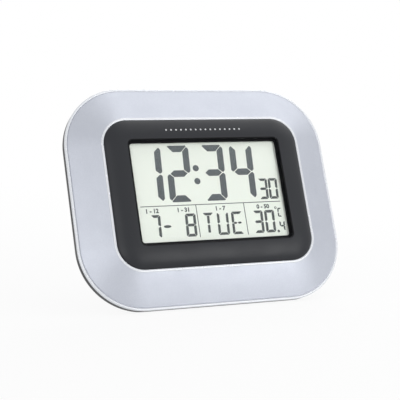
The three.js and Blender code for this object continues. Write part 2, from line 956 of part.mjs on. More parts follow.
// The stand leg in its own axes: the pin is the origin and the leg hangs down -y when folded.
function standLeg() {
  const inner = hingeZ - legBackZ - legThickness;
  const outer = hingeZ - legBackZ;
  const footY = (z) => (z * Math.sin(standSplay) - hingeHeight) / Math.cos(standSplay);
  const profile = [
    [heelLength, -outer],
    [heelLength, -inner],
    [footY(-inner), -inner],
    [footY(-outer), -outer],
  ];
  const slab = sideProfile(profile, legWidth);
  const barrel = lyingRod(barrelRadius, "x", legWidth, 0, 0, 0);
  const trim = bothSides.map((side) => {
    const low = new THREE.Vector2(side * legHalfWidth, footY(-outer));
    const wedge = new THREE.Shape([
      low,
      new THREE.Vector2(side * bodyWidth, footY(-outer)),
      new THREE.Vector2(side * bodyWidth, heelLength + through),
      new THREE.Vector2(side * (legHalfWidth - legTaper / 2), heelLength + through),
    ]);
    return plate(wedge, -bodyHeight / 2, bodyHeight / 2);
  });
  const bore = lyingRod(pinRadius + pinGap, "x", legWidth + 2 * through, 0, 0, 0);
  return cut(slab.add(barrel), [...trim, bore]);
}

function keyholeBox() {
  const half = keyholeEntry + keyholeMargin;
  return block(
    -half,
    half,
    keyholeY - half,
    keyholeY + keyholeRise + half,
    0,
    wall + keyholePocket + recessFloor,
  );
}

function keyholeCuts() {
  const half = keyholeEntry + keyholeMargin - recessFloor;
  return [
    block(-half, half, keyholeY - half, keyholeY + keyholeRise + half, wall, wall + keyholePocket),
    rod(keyholeEntry, 0, keyholeY, -through, wall + through),
    block(-keyholeSlot, keyholeSlot, keyholeY, keyholeY + keyholeRise, -through, wall + through),
    rod(keyholeSlot, 0, keyholeY + keyholeRise, -through, wall + through),
  ];
}

function cradles() {
  return bothSides.map((side) =>
    block(
      aerialX - cradleWidth / 2,
      aerialX + cradleWidth / 2,
      side * cradleY - cradleThickness / 2,
      side * cradleY + cradleThickness / 2,
      wall / 2,
      aerialZ + gap,
    ),
  );
}

function cradleCuts() {
  return [lyingRod(rodRadius + gap, "y", rodLength, aerialX, 0, aerialZ)];
}

// Posts that carry the key board and the radio board.
function postPlaces() {
  return [
    { x: keyX, y: keyPostLowY, top: keyBoardZ - gap },
    { x: keyX, y: keyPostHighY, top: keyBoardZ - gap },
    { x: radioX, y: radioBottomY + smallPost, top: radioZ - gap },
    { x: radioX, y: radioTopY - smallPost, top: radioZ - gap },
  ];
}

function boardPosts() {
  return postPlaces().map(({ x, y, top }) => rod(smallPost, x, y, wall / 2, top));
}

function postCuts() {
  return postPlaces().map(({ x, y, top }) => rod(screwHole, x, y, wall, top + through));
}

function keyCuts() {
  return keyYs.map((y) => rod(keyRadius + gap, keyX, y, -through, wall + through));
}

function ventCuts() {
  const first = thermistorX - ((ventCount - 1) * ventPitch) / 2;
  return Array.from({ length: ventCount }, (_, i) =>
    block(
      first + i * ventPitch - ventWidth / 2,
      first + i * ventPitch + ventWidth / 2,
      thermistorY - ventLength / 2,
      thermistorY + ventLength / 2,
      -through,
      wall + through,
    ),
  );
}

function keyBoard() {
  const board = block(
    keyX - keyBoardWidth / 2,
    keyX + keyBoardWidth / 2,
    keyBoardBottomY,
    keyPostHighY + smallPost,
    keyBoardZ,
    keyBoardZ + boardThickness,
  );
  const holes = postPlaces().map(({ x, y }) => rod(screwHole, x, y, 0, seamZ));
  return cut(board, holes);
}

function radioBoard() {
  const board = block(
    radioX - radioWidth / 2,
    radioX + radioWidth / 2,
    radioBottomY,
    radioTopY,
    radioZ,
    radioZ + radioThickness,
  );
  const holes = postPlaces().map(({ x, y }) => rod(screwHole, x, y, 0, seamZ));
  return cut(board, holes);
}

function keySwitchSolid(y) {
  const half = keySwitch / 2;
  const back = keyBoardZ - gap - keySwitchHeight;
  return join([
    block(keyX - half, keyX + half, y - half, y + half, back, keyBoardZ - gap),
    rod(keyPlunger, keyX, y, back - keyPlungerHeight, back + gap),
  ]);
}

// A key in its own axes: its outer face is at height zero and its stem points along +z.
function rearKey() {
  const flangeZ = wall + gap - keySink;
  const profile = [
    [0, 0],
    [keyRadius - gap, 0],
    [keyRadius, gap],
    [keyRadius, flangeZ],
    [keyFlange, flangeZ],
    [keyFlange, flangeZ + keyFlangeThickness],
    [keyStem, flangeZ + keyFlangeThickness],
    [keyStem, keyStemEndZ - keySink],
    [0, keyStemEndZ - keySink],
  ].map(([radius, z]) => new THREE.Vector2(radius, z));
  return solidOf(new THREE.LatheGeometry(profile, roundSides).rotateX(Math.PI / 2));
}

// A drop of epoxy over a bare chip, on the back of a board.
function epoxyDrop(radius, height) {
  const profile = [
    [0, 0],
    [radius, 0],
    [radius * 0.85, -height * 0.6],
    [radius * 0.5, -height * 0.93],
    [0, -height],
  ].map(([r, z]) => new THREE.Vector2(r, z));
  return solidOf(new THREE.LatheGeometry(profile.reverse(), roundSides).rotateX(Math.PI / 2));
}

// A flat ribbon that steps from one board up to another.
function ribbon(lowZ, highZ, x, y) {
  const thick = ribbonThickness;
  const profile = [
    [y - ribbonFoot, lowZ],
    [y + thick, lowZ],
    [y + thick, highZ - thick],
    [y + ribbonFoot, highZ - thick],
    [y + ribbonFoot, highZ],
    [y, highZ],
    [y, lowZ + thick],
    [y - ribbonFoot, lowZ + thick],
  ];
  return sideProfile(profile, ribbonWidth).translate([x, 0, 0]);
}

const clock = new THREE.Group();

function put(name, solid, material, position = [0, 0, 0]) {
  const mesh = new THREE.Mesh(geometryOf(solid), material);
  mesh.name = name;
  mesh.position.set(...position);
  clock.add(mesh);
  return mesh;
}

put("front_frame", frontFrame(), silverPaint);
put("inner_bezel", innerBezel(), darkPlastic);
put("rear_case", rearCase(), blackPlastic);
put("window_lens", windowLens(), clearPlastic);
put("lcd_front_glass", displayFrontGlass(), displayGlass);
put("lcd_rear_glass", displayRearGlass(), displayGlass);
put("lcd_reflector", displayReflector(), reflectorFilm);
put("lcd_holder", displayHolder(), whitePlastic);
put("zebra_strip", zebraStrip(), rubber);

put("main_board", mainBoard(), boardLacquer);
put("driver_chip", epoxyDrop(chipRadius, chipHeight), epoxy, [chipX, chipY, boardBackZ - gap]);
put(
  "clock_crystal",
  lyingRod(crystalRadius, "y", crystalLength, 0, 0, 0),
  nickel,
  [crystalX, crystalY, boardBackZ - gap - crystalRadius],
);
put("capacitor", rod(capacitorRadius, 0, 0, -capacitorHeight, 0), epoxy, [
  capacitorX,
  capacitorY,
  boardBackZ - gap,
]);
put("thermistor", rod(thermistorRadius, 0, 0, -thermistorReach, 0), epoxy, [
  thermistorX,
  thermistorY,
  boardBackZ - gap,
]);

put("radio_board", radioBoard(), boardLacquer);
const radioFaceZ = radioZ + radioThickness + gap;
const radioChip = epoxyDrop(chipRadius / 2, chipHeight).mirror([0, 0, 1]);
put("receiver_chip", radioChip, epoxy, [radioX, (radioBottomY + radioTopY) / 2 - smallPost, radioFaceZ]);
put("receiver_crystal", lyingRod(crystalRadius, "x", crystalLength, 0, 0, 0), nickel, [
  radioX,
  (radioBottomY + radioTopY) / 2 + smallPost + crystalRadius,
  radioFaceZ + crystalRadius,
]);
const radioRibbonX = radioX + (radioWidth - ribbonWidth) / 2;
put(
  "radio_ribbon",
  ribbon(radioFaceZ, boardBackZ - gap, radioRibbonX, radioBottomY + 2 * ribbonFoot),
  ribbonGrey,
);
put("ferrite_rod", lyingRod(rodRadius, "y", rodLength, 0, 0, 0), ferrite, [aerialX, 0, aerialZ]);
const coil = lyingRod(rodRadius + gap + coilWind, "y", coilLength, 0, 0, 0).subtract(
  lyingRod(rodRadius + gap, "y", rodLength, 0, 0, 0),
);
put("antenna_coil", coil, copper, [aerialX, 0, aerialZ]);

put("key_board", keyBoard(), boardLacquer);
keyYs.forEach((y, i) => {
  put("key_switch_" + keyNames[i], keySwitchSolid(y), epoxy);
  put("button_" + keyNames[i], rearKey(), keyRubber, [keyX, y, keySink]);
});
put(
  "key_ribbon",
  ribbon(keyBoardZ + boardThickness + gap, boardBackZ - gap, keyX, keyRibbonY),
  ribbonGrey,
);

put("battery_upper", batteryCell(1, bayCentreY + cellPitch / 2), cellSleeve);
put("battery_lower", batteryCell(-1, bayCentreY - cellPitch / 2), cellSleeve);
put("contact_bridge", contactBridge(), nickel);
put("contact_positive", endContact(1, false), nickel);
put("contact_negative", endContact(-1, true), nickel);

const doorPivot = [0, doorBottomY, doorPivotZ];
const toDoorAxis = doorPivot.map((value) => -value);
put("battery_door", batteryDoor().translate(toDoorAxis), blackPlastic, doorPivot);

const leg = put("stand_leg", standLeg(), blackPlastic, [0, hingeY, hingeZ]);
leg.rotation.x = standOpen;
put("stand_pin", lyingRod(pinRadius, "x", 2 * pinHalfLength, 0, 0, 0), steel, [0, hingeY, hingeZ]);

fourCorners.forEach(([sideX, sideY], i) => {
  const at = [sideX * caseScrewX, sideY * caseScrewY, counterboreFloor - gap];
  put("case_screw_" + (i + 1), screw(caseScrewLength), steel, at);
  const behind = [sideX * bezelScrewX, bezelScrewY(sideY), flangeBackZ - gap];
  put("bezel_screw_" + (i + 1), screw(bezelScrewLength), steel, behind);
});
holderScrewPlaces().forEach(([x, y], i) => {
  put("holder_screw_" + (i + 1), screw(earScrewLength - boardThickness), steel, [x, y, holderBackZ - gap]);
});
boardScrewPlaces().forEach(([x, y], i) => {
  put("board_screw_" + (i + 1), screw(earScrewLength), steel, [x, y, boardBackZ - gap]);
});
postPlaces().forEach(({ x, y }, i) => {
  const onKeyBoard = x === keyX;
  const face = onKeyBoard ? keyBoardZ + boardThickness : radioZ + radioThickness;
  const name = (onKeyBoard ? "key_board_screw_" : "radio_board_screw_") + ((i % 2) + 1);
  const mesh = put(name, screw(smallScrewLength), steel, [x, y, face + gap]);
  mesh.rotation.x = Math.PI;
});

clock.rotation.x = Math.PI / 2 - lean;

// The tilted clock stands on its lower edge and its stand, over the centre of its footprint.
const part = new THREE.Group();
part.add(clock);
part.updateMatrixWorld(true);
const bounds = new THREE.Box3().setFromObject(clock, true);
const middle = bounds.getCenter(new THREE.Vector3());
clock.position.set(-middle.x, -middle.y, -bounds.min.z);

export default part;
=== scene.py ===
"""Looks of a radio-controlled digital clock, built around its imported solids.

Every mesh is shaped in the panel's own axes, in millimetres: x to the right, y up the
leaning panel and z out of it. The Panel then places it in the frame, in metres.
"""

import json
import logging
import math
from collections.abc import Iterable, Sequence
from dataclasses import astuple, dataclass, replace
from enum import Enum
from functools import cache

import bmesh
import bpy
from mathutils import Matrix, Vector


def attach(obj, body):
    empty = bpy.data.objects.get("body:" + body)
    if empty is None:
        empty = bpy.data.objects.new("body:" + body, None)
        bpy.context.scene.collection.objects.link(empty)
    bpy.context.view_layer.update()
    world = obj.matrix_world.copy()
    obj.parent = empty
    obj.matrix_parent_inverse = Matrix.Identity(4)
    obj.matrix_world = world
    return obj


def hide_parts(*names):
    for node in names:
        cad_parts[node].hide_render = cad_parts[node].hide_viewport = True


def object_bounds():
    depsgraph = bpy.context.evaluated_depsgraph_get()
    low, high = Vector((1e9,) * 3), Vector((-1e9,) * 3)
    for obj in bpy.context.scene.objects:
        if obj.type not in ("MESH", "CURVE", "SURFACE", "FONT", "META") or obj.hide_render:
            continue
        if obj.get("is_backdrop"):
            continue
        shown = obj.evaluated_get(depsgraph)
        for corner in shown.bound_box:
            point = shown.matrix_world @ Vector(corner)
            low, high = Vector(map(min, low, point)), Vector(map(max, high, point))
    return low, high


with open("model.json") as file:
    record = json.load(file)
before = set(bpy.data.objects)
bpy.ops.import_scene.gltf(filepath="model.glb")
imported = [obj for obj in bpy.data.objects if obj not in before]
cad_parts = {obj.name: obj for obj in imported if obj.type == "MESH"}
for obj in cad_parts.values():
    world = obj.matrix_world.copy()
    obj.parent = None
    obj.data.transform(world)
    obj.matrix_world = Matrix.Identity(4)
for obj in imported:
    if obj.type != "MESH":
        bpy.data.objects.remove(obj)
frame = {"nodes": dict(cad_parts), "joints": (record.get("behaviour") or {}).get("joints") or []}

log = logging.getLogger("clock")
MM = 0.001
TINY = 0.01
SIDES = (-1, 1)
WHITE = (1.0, 1.0, 1.0, 1.0)
ZERO = (0.0, 0.0, 0.0)
RIGHT_ANGLE = math.radians(90)

Point = tuple[float, float]
Points = tuple[Point, ...]
Place = tuple[float, float, float]
Piece = bpy.types.Object
Socket = bpy.types.NodeSocket


# Axes, outlines and meshes


def arc(x: float, y: float, radius: float, start: float, end: float, steps: int) -> list[Point]:
    """Points of a round arc about x and y, between two angles in degrees, in so many steps."""
    turns = [math.radians(start + (end - start) * step / steps) for step in range(steps + 1)]
    return [(x + radius * math.cos(turn), y + radius * math.sin(turn)) for turn in turns]


def circle(radius: float, steps: int) -> list[Point]:
    """Points all round a circle about the origin."""
    return arc(0.0, 0.0, radius, 0, 360, steps)[:-1]


@dataclass(frozen=True)
class Level:
    """A rounded rectangle at one height of a wall, in the panel's axes."""

    width: float
    height: float
    radius: float
    centre_y: float
    z: float = 0.0

    def grown(self, extra: float, z: float, radius: float | None = None) -> "Level":
        """The outline moved outwards, at a height, with a corner radius that may be given."""
        corner = self.radius + extra if radius is None else radius
        return Level(self.width + 2 * extra, self.height + 2 * extra, corner, self.centre_y, z)

    def towards(self, other: "Level", share: float, z: float) -> "Level":
        """The outline at a share of the way to another one, at a height."""
        pairs = zip(astuple(self), astuple(other), strict=True)
        return replace(Level(*(a + (b - a) * share for a, b in pairs)), z=z)

    def ring(self, corner_steps: int, side_steps: int) -> list[Vector]:
        """Points around the outline, anticlockwise from the lower right corner.

        Args:
            corner_steps: Steps along each rounded corner.
            side_steps: Steps along each straight side.

        Returns:
            The points, the same number for every level with the same steps.
        """
        radius = max(self.radius, TINY)
        x, y = self.width / 2 - radius, self.height / 2 - radius
        arcs = [
            arc(a * x, self.centre_y + b * y, radius, 90 * turn - 90, 90 * turn, corner_steps)
            for turn, (a, b) in enumerate(((1, -1), (1, 1), (-1, 1), (-1, -1)))
        ]
        shares = [step / side_steps for step in range(1, side_steps)]
        points: list[Point] = []
        for here, following in zip(arcs, arcs[1:] + arcs[:1], strict=True):
            (x, y), (end_x, end_y) = here[-1], following[0]
            points += here + [(x + (end_x - x) * share, y + (end_y - y) * share) for share in shares]
        return [Vector((*point, self.z)) for point in points]


@dataclass(frozen=True)
class Layout:
    """Sizes that several pieces share, in mm."""

    body: Level = Level(225.0, 180.0, 50.3, 0.0)
    seam: Level = Level(167.4, 120.4, 20.7, 0.2, 22.8)
    window: Level = Level(128.2, 82.6, 3.0, 0.4)
    flange: Level = Level(153.0, 106.0, 13.5, 0.2)
    split_z: float = 11.8
    case_gap: float = 0.3
    bezel_front: float = 27.0
    lens_front: float = 23.5
    case_screw: Point = (87.0, 61.0)
    bezel_screw: Point = (40.0, 56.6)
    ear_x: float = 71.5
    ear_rows: tuple[float, ...] = (36.0, -8.0, -40.0)
    hinge_y: float = -6.0
    hinge_z: float = 3.4
    bay_y: float = 25.0
    bay_half: Point = (29.05, 15.3)
    bay_inside: float = 16.6
    door_half: Point = (30.95, 17.2)
    cell_rows: Point = (32.6, 17.4)
    cell_radius: float = 7.1
    cell_z: float = 9.2
    key_x: float = 50.0
    key_rows: tuple[float, ...] = (8.0, 19.0, 30.0, 41.0)
    key_radius: float = 3.2
    key_post_rows: Point = (0.0, 49.0)
    radio_post_x: float = -71.0
    radio_post_rows: Point = (-9.0, 13.0)
    aerial_x: float = -88.0
    aerial_z: float = 9.0
    rod_radius: float = 4.0

    def corners(self, half: Point, centre_y: float = 0.0) -> list[Point]:
        """Four places, one in each quarter of the panel."""
        return [(a * half[0], centre_y + b * half[1]) for a in SIDES for b in SIDES]

    def ears(self, rows: Sequence[float]) -> list[Point]:
        """Places of the display's holder at both sides, in some of its rows."""
        return [(side * self.ear_x, y) for side in SIDES for y in rows]


class Axis(Enum):
    """An axis to turn a profile about, as the turn that brings z onto it."""

    X = ((0, 0, 1), (1, 0, 0), (0, 1, 0))
    MINUS_X = ((0, 0, -1), (-1, 0, 0), (0, 1, 0))
    Y = ((0, 1, 0), (0, 0, 1), (1, 0, 0))
    Z = ((1, 0, 0), (0, 1, 0), (0, 0, 1))


class Change(Enum):
    """What solids do to a piece."""

    JOIN = "UNION"
    CUT = "DIFFERENCE"


class Shape:
    """A mesh in the making, in the panel's axes."""

    def __init__(self) -> None:
        """Starts with no points and the first finish."""
        self.points: list[Vector] = []
        self.faces: list[tuple[int, ...]] = []
        self.tints: list[int] = []
        self.tint = 0

    def _face(self, tint: int, *corners: int) -> None:
        """Adds a face in one of the finishes."""
        self.faces.append(corners)
        self.tints.append(tint)

    def skin(
        self,
        rings: Sequence[Sequence[Vector]],
        looped: bool = False,
        caps: bool = True,
        tints: Sequence[int] = (),
    ) -> "Shape":
        """Joins rings of equally many points into a wall.

        Args:
            rings: The rings, in order.
            looped: True if the last ring joins the first one.
            caps: True to close both ends.
            tints: The finish of each step between two rings, or none for the one in use.

        Returns:
            This shape.
        """
        first, count = len(self.points), len(rings[0])
        for ring in rings:
            self.points += ring
        for level in range(len(rings) if looped else len(rings) - 1):
            tint = tints[level] if tints else self.tint
            low, high = (first + step % len(rings) * count for step in (level, level + 1))
            for i in range(count):
                after = (i + 1) % count
                self._face(tint, low + i, low + after, high + after, high + i)
        if caps and not looped:
            last = first + (len(rings) - 1) * count
            self._face(self.tint, *reversed(range(first, first + count)))
            self._face(self.tint, *range(last, last + count))
        return self

    def loft(
        self,
        levels: Iterable[Level],
        looped: bool = False,
        corner: int = 14,
        side: int = 4,
        tints: Sequence[int] = (),
    ) -> "Shape":
        """A wall through several levels, with so many steps along each corner and each side."""
        return self.skin([level.ring(corner, side) for level in levels], looped, tints=tints)

    def lathe(
        self,
        profile: Iterable[Point],
        place: Sequence[float],
        axis: Axis = Axis.Z,
        steps: int = 32,
        looped: bool = False,
        caps: bool = True,
    ) -> "Shape":
        """Turns a profile about an axis.

        Args:
            profile: Pairs of radius and height along the axis.
            place: Where height zero is.
            axis: The axis to turn about.
            steps: Sides of the round.
            looped: True if the profile closes on itself.
            caps: True to close both ends.

        Returns:
            This shape.
        """
        turn = Matrix(axis.value)
        rings = [
            [Vector(place) + turn @ Vector((x, y, height)) for x, y in circle(radius, steps)]
            for radius, height in profile
        ]
        return self.skin(rings, looped, caps)

    def prism(self, outline: Iterable[Point], low: float, high: float) -> "Shape":
        """Stands an outline of x and y points up between two heights."""
        return self.skin([[Vector((x, y, z)) for x, y in outline] for z in (low, high)])

    def block(self, low: Sequence[float], high: Sequence[float], edge: float = 0.0) -> "Shape":
        """A box with its edges along z rounded off.

        Args:
            low: Its lowest corner.
            high: Its highest corner.
            edge: Radius of the rounding.

        Returns:
            This shape.
        """
        width, height, _ = (b - a for a, b in zip(low, high, strict=True))
        x, y = (low[0] + high[0]) / 2, (low[1] + high[1]) / 2
        ring = Level(width, height, max(edge, TINY), y).ring(4 if edge else 1, 1)
        return self.skin([[point + Vector((x, 0, z)) for point in ring] for z in (low[2], high[2])])

    def tube(self, radii: Point, place: Point, low: float, high: float) -> "Shape":
        """An upright tube with a rounded mouth at its high end.

        Args:
            radii: Its outer and inner radius.
            place: Its middle.
            low: Height of its foot.
            high: Height of its mouth.

        Returns:
            This shape.
        """
        (outer, inner), edge = radii, 0.2
        profile = [(inner, low), (outer, low), (outer, high - edge)]
        profile += [(outer - edge, high), (inner + edge, high), (inner, high - edge)]
        return self.lathe(profile, (*place, 0), steps=24, looped=True)

    def build(self, name: str, sharp: float = 32.0) -> Piece:
        """Makes the mesh object, with outward faces and smooth rounds.

        Args:
            name: Name of the piece.
            sharp: Angle in degrees past which an edge stays sharp.

        Returns:
            The piece, not yet placed in the frame.
        """
        mesh = bpy.data.meshes.new(name)
        mesh.from_pydata(self.points, [], self.faces)
        for polygon, tint in zip(mesh.polygons, self.tints, strict=True):
            polygon.material_index = tint
        return finished(name, mesh, sharp)


def finished(name: str, mesh: bpy.types.Mesh, sharp: float = 32.0) -> Piece:
    """Merges doubles, turns the faces outwards and shades a mesh smooth.

    Args:
        name: Name of the piece.
        mesh: Its mesh.
        sharp: Angle in degrees past which an edge stays sharp.

    Returns:
        A new piece in the scene with that mesh.
    """
    edit = bmesh.new()
    edit.from_mesh(mesh)
    bmesh.ops.remove_doubles(edit, verts=edit.verts, dist=1e-4)
    bmesh.ops.dissolve_degenerate(edit, edges=edit.edges, dist=1e-5)
    bmesh.ops.recalc_face_normals(edit, faces=edit.faces)
    edit.to_mesh(mesh)
    edit.free()
    mesh.shade_smooth()
    mesh.set_sharp_from_angle(angle=math.radians(sharp))
    return linked(name, mesh)


def linked(name: str, data: bpy.types.ID) -> Piece:
    """Puts a mesh, a text, a lamp or a camera in the scene.

    Args:
        name: Name of the new object.
        data: What it shows.

    Returns:
        The object.
    """
    piece = bpy.data.objects.new(name, data)
    bpy.context.scene.collection.objects.link(piece)
    return piece


def baked(piece: Piece, sharp: float = 32.0) -> Piece:
    """Turns a text or a piece with modifiers into a plain mesh of the same name.

    Args:
        piece: The piece, which is removed.
        sharp: Angle in degrees past which an edge stays sharp.

    Returns:
        The plain piece.
    """
    name = piece.name
    bpy.context.view_layer.update()
    found = bpy.context.evaluated_depsgraph_get()
    mesh = bpy.data.meshes.new_from_object(piece.evaluated_get(found))
    bpy.data.objects.remove(piece)
    mesh.name = name
    return finished(name, mesh, sharp)


def joined(name: str, pieces: Iterable[Piece]) -> Piece:
    """Puts several pieces of one finish into one mesh.

    Args:
        name: Name of the new piece.
        pieces: The pieces, which are removed.

    Returns:
        The new piece.
    """
    edit = bmesh.new()
    for piece in pieces:
        edit.from_mesh(piece.data)
        bpy.data.objects.remove(piece)
    mesh = bpy.data.meshes.new(name)
    edit.to_mesh(mesh)
    edit.free()
    return finished(name, mesh)


def combined(piece: Piece, others: Sequence[Piece], change: Change) -> Piece:
    """Joins solids to a piece or cuts them out of it.

    Args:
        piece: The piece to change.
        others: The solids, which are removed.
        change: Whether to join or to cut.

    Returns:
        The changed piece.
    """
    tools = bpy.data.collections.new("tools")
    bpy.context.scene.collection.children.link(tools)
    for other in others:
        tools.objects.link(other)
    step = piece.modifiers.new("solids", "BOOLEAN")
    step.operation = change.value
    step.operand_type = "COLLECTION"
    step.collection = tools
    step.solver = "EXACT"
    changed = baked(piece)
    for other in others:
        bpy.data.objects.remove(other)
    bpy.data.collections.remove(tools)
    return changed


def softened(piece: Piece, width: float) -> Piece:
    """Rounds a piece's sharp edges.

    Args:
        piece: The piece, which is replaced.
        width: Width of the rounding.

    Returns:
        The rounded piece.
    """
    step = piece.modifiers.new("edges", "BEVEL")
    step.width = width
    step.segments = 2
    step.limit_method = "ANGLE"
    step.angle_limit = math.radians(35)
    return baked(piece, 40.0)


@dataclass(frozen=True)
class Panel:
    """The leaning panel's axes in the frame."""

    matrix: Matrix

    @classmethod
    def from_joints(cls, joints: Sequence[dict], layout: Layout) -> "Panel":
        """Finds the panel from the stand's pin and the way that the keys press.

        Args:
            joints: The frame's joints.
            layout: Where the pin is in the panel's axes.

        Returns:
            The panel.
        """
        named = {joint["name"]: joint for joint in joints}
        out = Vector(named["button_set_press"]["axis"]).normalized()
        right = Vector((1, 0, 0))
        up = out.cross(right)
        pin = Vector(named["stand_fold"]["pos_m"])
        origin = pin - (up * layout.hinge_y + out * layout.hinge_z) * MM
        axes = Matrix((right * MM, up * MM, out * MM)).transposed().to_4x4()
        return cls(Matrix.Translation(origin) @ axes)

    def lean(self) -> float:
        """Angle of the panel from upright."""
        up = self.matrix.to_3x3() @ Vector((0, 1, 0))
        return math.atan2(up.y, up.z)


# Node trees


class Tree:
    """A node tree that is fed with values and sockets."""

    def __init__(self, tree: bpy.types.NodeTree) -> None:
        """Takes over a tree, which it empties."""
        self.tree = tree
        tree.nodes.clear()

    def add(self, kind: str, inputs: dict[str | int, object], **options: object) -> bpy.types.Node:
        """Adds a node.

        Args:
            kind: Its type.
            inputs: By name or number, a value, a socket or a list of sockets.
            **options: Its settings.

        Returns:
            The node.
        """
        made = self.tree.nodes.new(kind)
        for name, value in options.items():
            setattr(made, name, value)
        for key, value in inputs.items():
            for part in value if isinstance(value, list) else [value]:
                if isinstance(part, Socket):
                    self.tree.links.new(part, made.inputs[key])
                else:
                    made.inputs[key].default_value = part
        return made

    def out(
        self, kind: str, inputs: dict[str | int, object], output: str | int = 0, **options: object
    ) -> Socket:
        """An output, by name or number, of a node that it adds."""
        return self.add(kind, inputs, **options).outputs[output]

    def sum(self, operation: str, first: object, second: object) -> Socket:
        """A small sum on two values or sockets."""
        return self.out("ShaderNodeMath", {0: first, 1: second}, operation=operation)

    def mixed(self, share: Socket, first: Socket, second: Socket) -> Socket:
        """A mix of two shaders."""
        return self.out("ShaderNodeMixShader", {0: share, 1: first, 2: second})

    def seen(self) -> Socket:
        """Tells the rays that see the surroundings directly, in metal or through glass.

        Returns:
            1 for those rays and 0 for all others.
        """
        rays = self.add("ShaderNodeLightPath", {}).outputs
        direct = self.sum("MAXIMUM", rays["Is Camera Ray"], rays["Is Glossy Ray"])
        return self.sum("MAXIMUM", direct, rays["Is Transmission Ray"])


class Recipe(Tree):
    """A tree of geometry nodes that makes one mesh from named sizes."""

    def __init__(self, name: str) -> None:
        """Starts a tree that takes points and gives a mesh.

        Args:
            name: Name of the tree.
        """
        super().__init__(bpy.data.node_groups.new(name, "GeometryNodeTree"))
        for label, way in (("Places", "INPUT"), ("Mesh", "OUTPUT")):
            self.tree.interface.new_socket(label, in_out=way, socket_type="NodeSocketGeometry")
        self.given = self.tree.nodes.new("NodeGroupInput")
        self.values: dict[str, float] = {}

    def sizes(self, values: dict[str, float]) -> list[Socket]:
        """Adds named inputs.

        Args:
            values: The value of each size, whole for a count.

        Returns:
            The sockets that give the sizes inside the tree.
        """
        for name, value in values.items():
            kind = "NodeSocketInt" if isinstance(value, int) else "NodeSocketFloat"
            item = self.tree.interface.new_socket(name, in_out="INPUT", socket_type=kind)
            self.values[item.identifier] = value
        return [self.given.outputs[name] for name in values]

    def vector(self, x: object = 0.0, y: object = 0.0, z: object = 0.0) -> Socket:
        """A vector of three values or sockets."""
        return self.out("ShaderNodeCombineXYZ", {"X": x, "Y": y, "Z": z})

    def box(self, x: object, y: object, z: object) -> Socket:
        """A box about the origin."""
        return self.out("GeometryNodeMeshCube", {"Size": self.vector(x, y, z)})

    def rod(self, sides: int, radius: object, length: object) -> Socket:
        """A round rod along z about the origin."""
        inputs = {"Vertices": sides, "Radius": radius, "Depth": length}
        return self.out("GeometryNodeMeshCylinder", inputs)

    def coil(
        self, turns: float, radii: Point, length: float, wire: float, sides: tuple[int, int]
    ) -> Socket:
        """A wire wound up along z.

        Args:
            turns: How often it goes round.
            radii: Its first and last radius.
            length: How far it rises.
            wire: Half the wire's thickness.
            sides: Steps in each turn, and sides of the wire.

        Returns:
            The mesh.
        """
        names = ("Turns", "First radius", "Last radius", "Length", "Wire")
        values = dict(zip(names, (turns, *radii, length, wire), strict=True))
        rounds, first, last, rise, thickness = self.sizes(values)
        inputs = {"Resolution": sides[0], "Rotations": rounds, "Start Radius": first}
        inputs |= {"End Radius": last, "Height": rise}
        spiral = self.out("GeometryNodeCurveSpiral", inputs)
        inputs = {"Resolution": sides[1], "Radius": thickness}
        section = self.out("GeometryNodeCurvePrimitiveCircle", inputs)
        inputs = {"Curve": spiral, "Profile Curve": section, "Fill Caps": True}
        return self.out("GeometryNodeCurveToMesh", inputs)

    def shifted(self, mesh: Socket, move: object, turn: object = ZERO) -> Socket:
        """A mesh moved and turned."""
        inputs = {"Geometry": mesh, "Translation": move, "Rotation": turn}
        return self.out("GeometryNodeTransform", inputs)

    def united(self, meshes: list[Socket]) -> Socket:
        """Several overlapping meshes as one."""
        return self.out("GeometryNodeMeshBoolean", {"Mesh 2": meshes}, operation="UNION")

    def repeated(self, mesh: Socket, turn: object = ZERO, points: Socket | None = None) -> Socket:
        """A mesh repeated at each of some points, or at the places that bake is given."""
        inputs = {"Points": points or self.given.outputs["Places"], "Instance": mesh}
        return self.out("GeometryNodeInstanceOnPoints", inputs | {"Rotation": turn})

    def row(self, mesh: Socket, count: Socket, pitch: Socket, turn: object = ZERO) -> Socket:
        """A mesh repeated in a row along x, about the origin.

        Args:
            mesh: The mesh.
            count: How many.
            pitch: From one to the next.
            turn: How each is turned.

        Returns:
            The row.
        """
        start = self.sum("MULTIPLY", self.sum("SUBTRACT", count, 1), self.sum("MULTIPLY", pitch, -0.5))
        inputs = {"Count": count, "Start Location": self.vector(start), "Offset": self.vector(pitch)}
        return self.repeated(mesh, turn, self.out("GeometryNodeMeshLine", inputs))

    def bake(
        self, name: str, result: Socket, finish: "Finish", places: Iterable[Place] = (ZERO,)
    ) -> Piece:
        """Ends the tree, runs it and keeps its mesh.

        Args:
            name: Name of the piece.
            result: The finished geometry.
            finish: The finish that its faces take.
            places: Points that the tree may repeat a mesh at.

        Returns:
            The piece as a plain mesh.
        """
        real = self.out("GeometryNodeRealizeInstances", {"Geometry": result})
        inputs = {"Geometry": real, "Material": finish.material()}
        self.add("NodeGroupOutput", {"Mesh": self.out("GeometryNodeSetMaterial", inputs)})
        mesh = bpy.data.meshes.new(name)
        mesh.from_pydata([Vector(place) for place in places], [], [])
        piece = bpy.data.objects.new(name, mesh)
        step = piece.modifiers.new("recipe", "NODES")
        step.node_group = self.tree
        for identifier, value in self.values.items():
            step[identifier] = value
        bpy.context.scene.collection.objects.link(piece)
        return baked(piece)


# Finishes


def tone(code: int) -> tuple[float, ...]:
    """A shader colour from a code of three bytes, as seen on a screen."""
    parts = [(code >> shift & 255) / 255 for shift in (16, 8, 0)]
    return (*(c / 12.92 if c <= 0.04045 else ((c + 0.055) / 1.055) ** 2.4 for c in parts), 1.0)


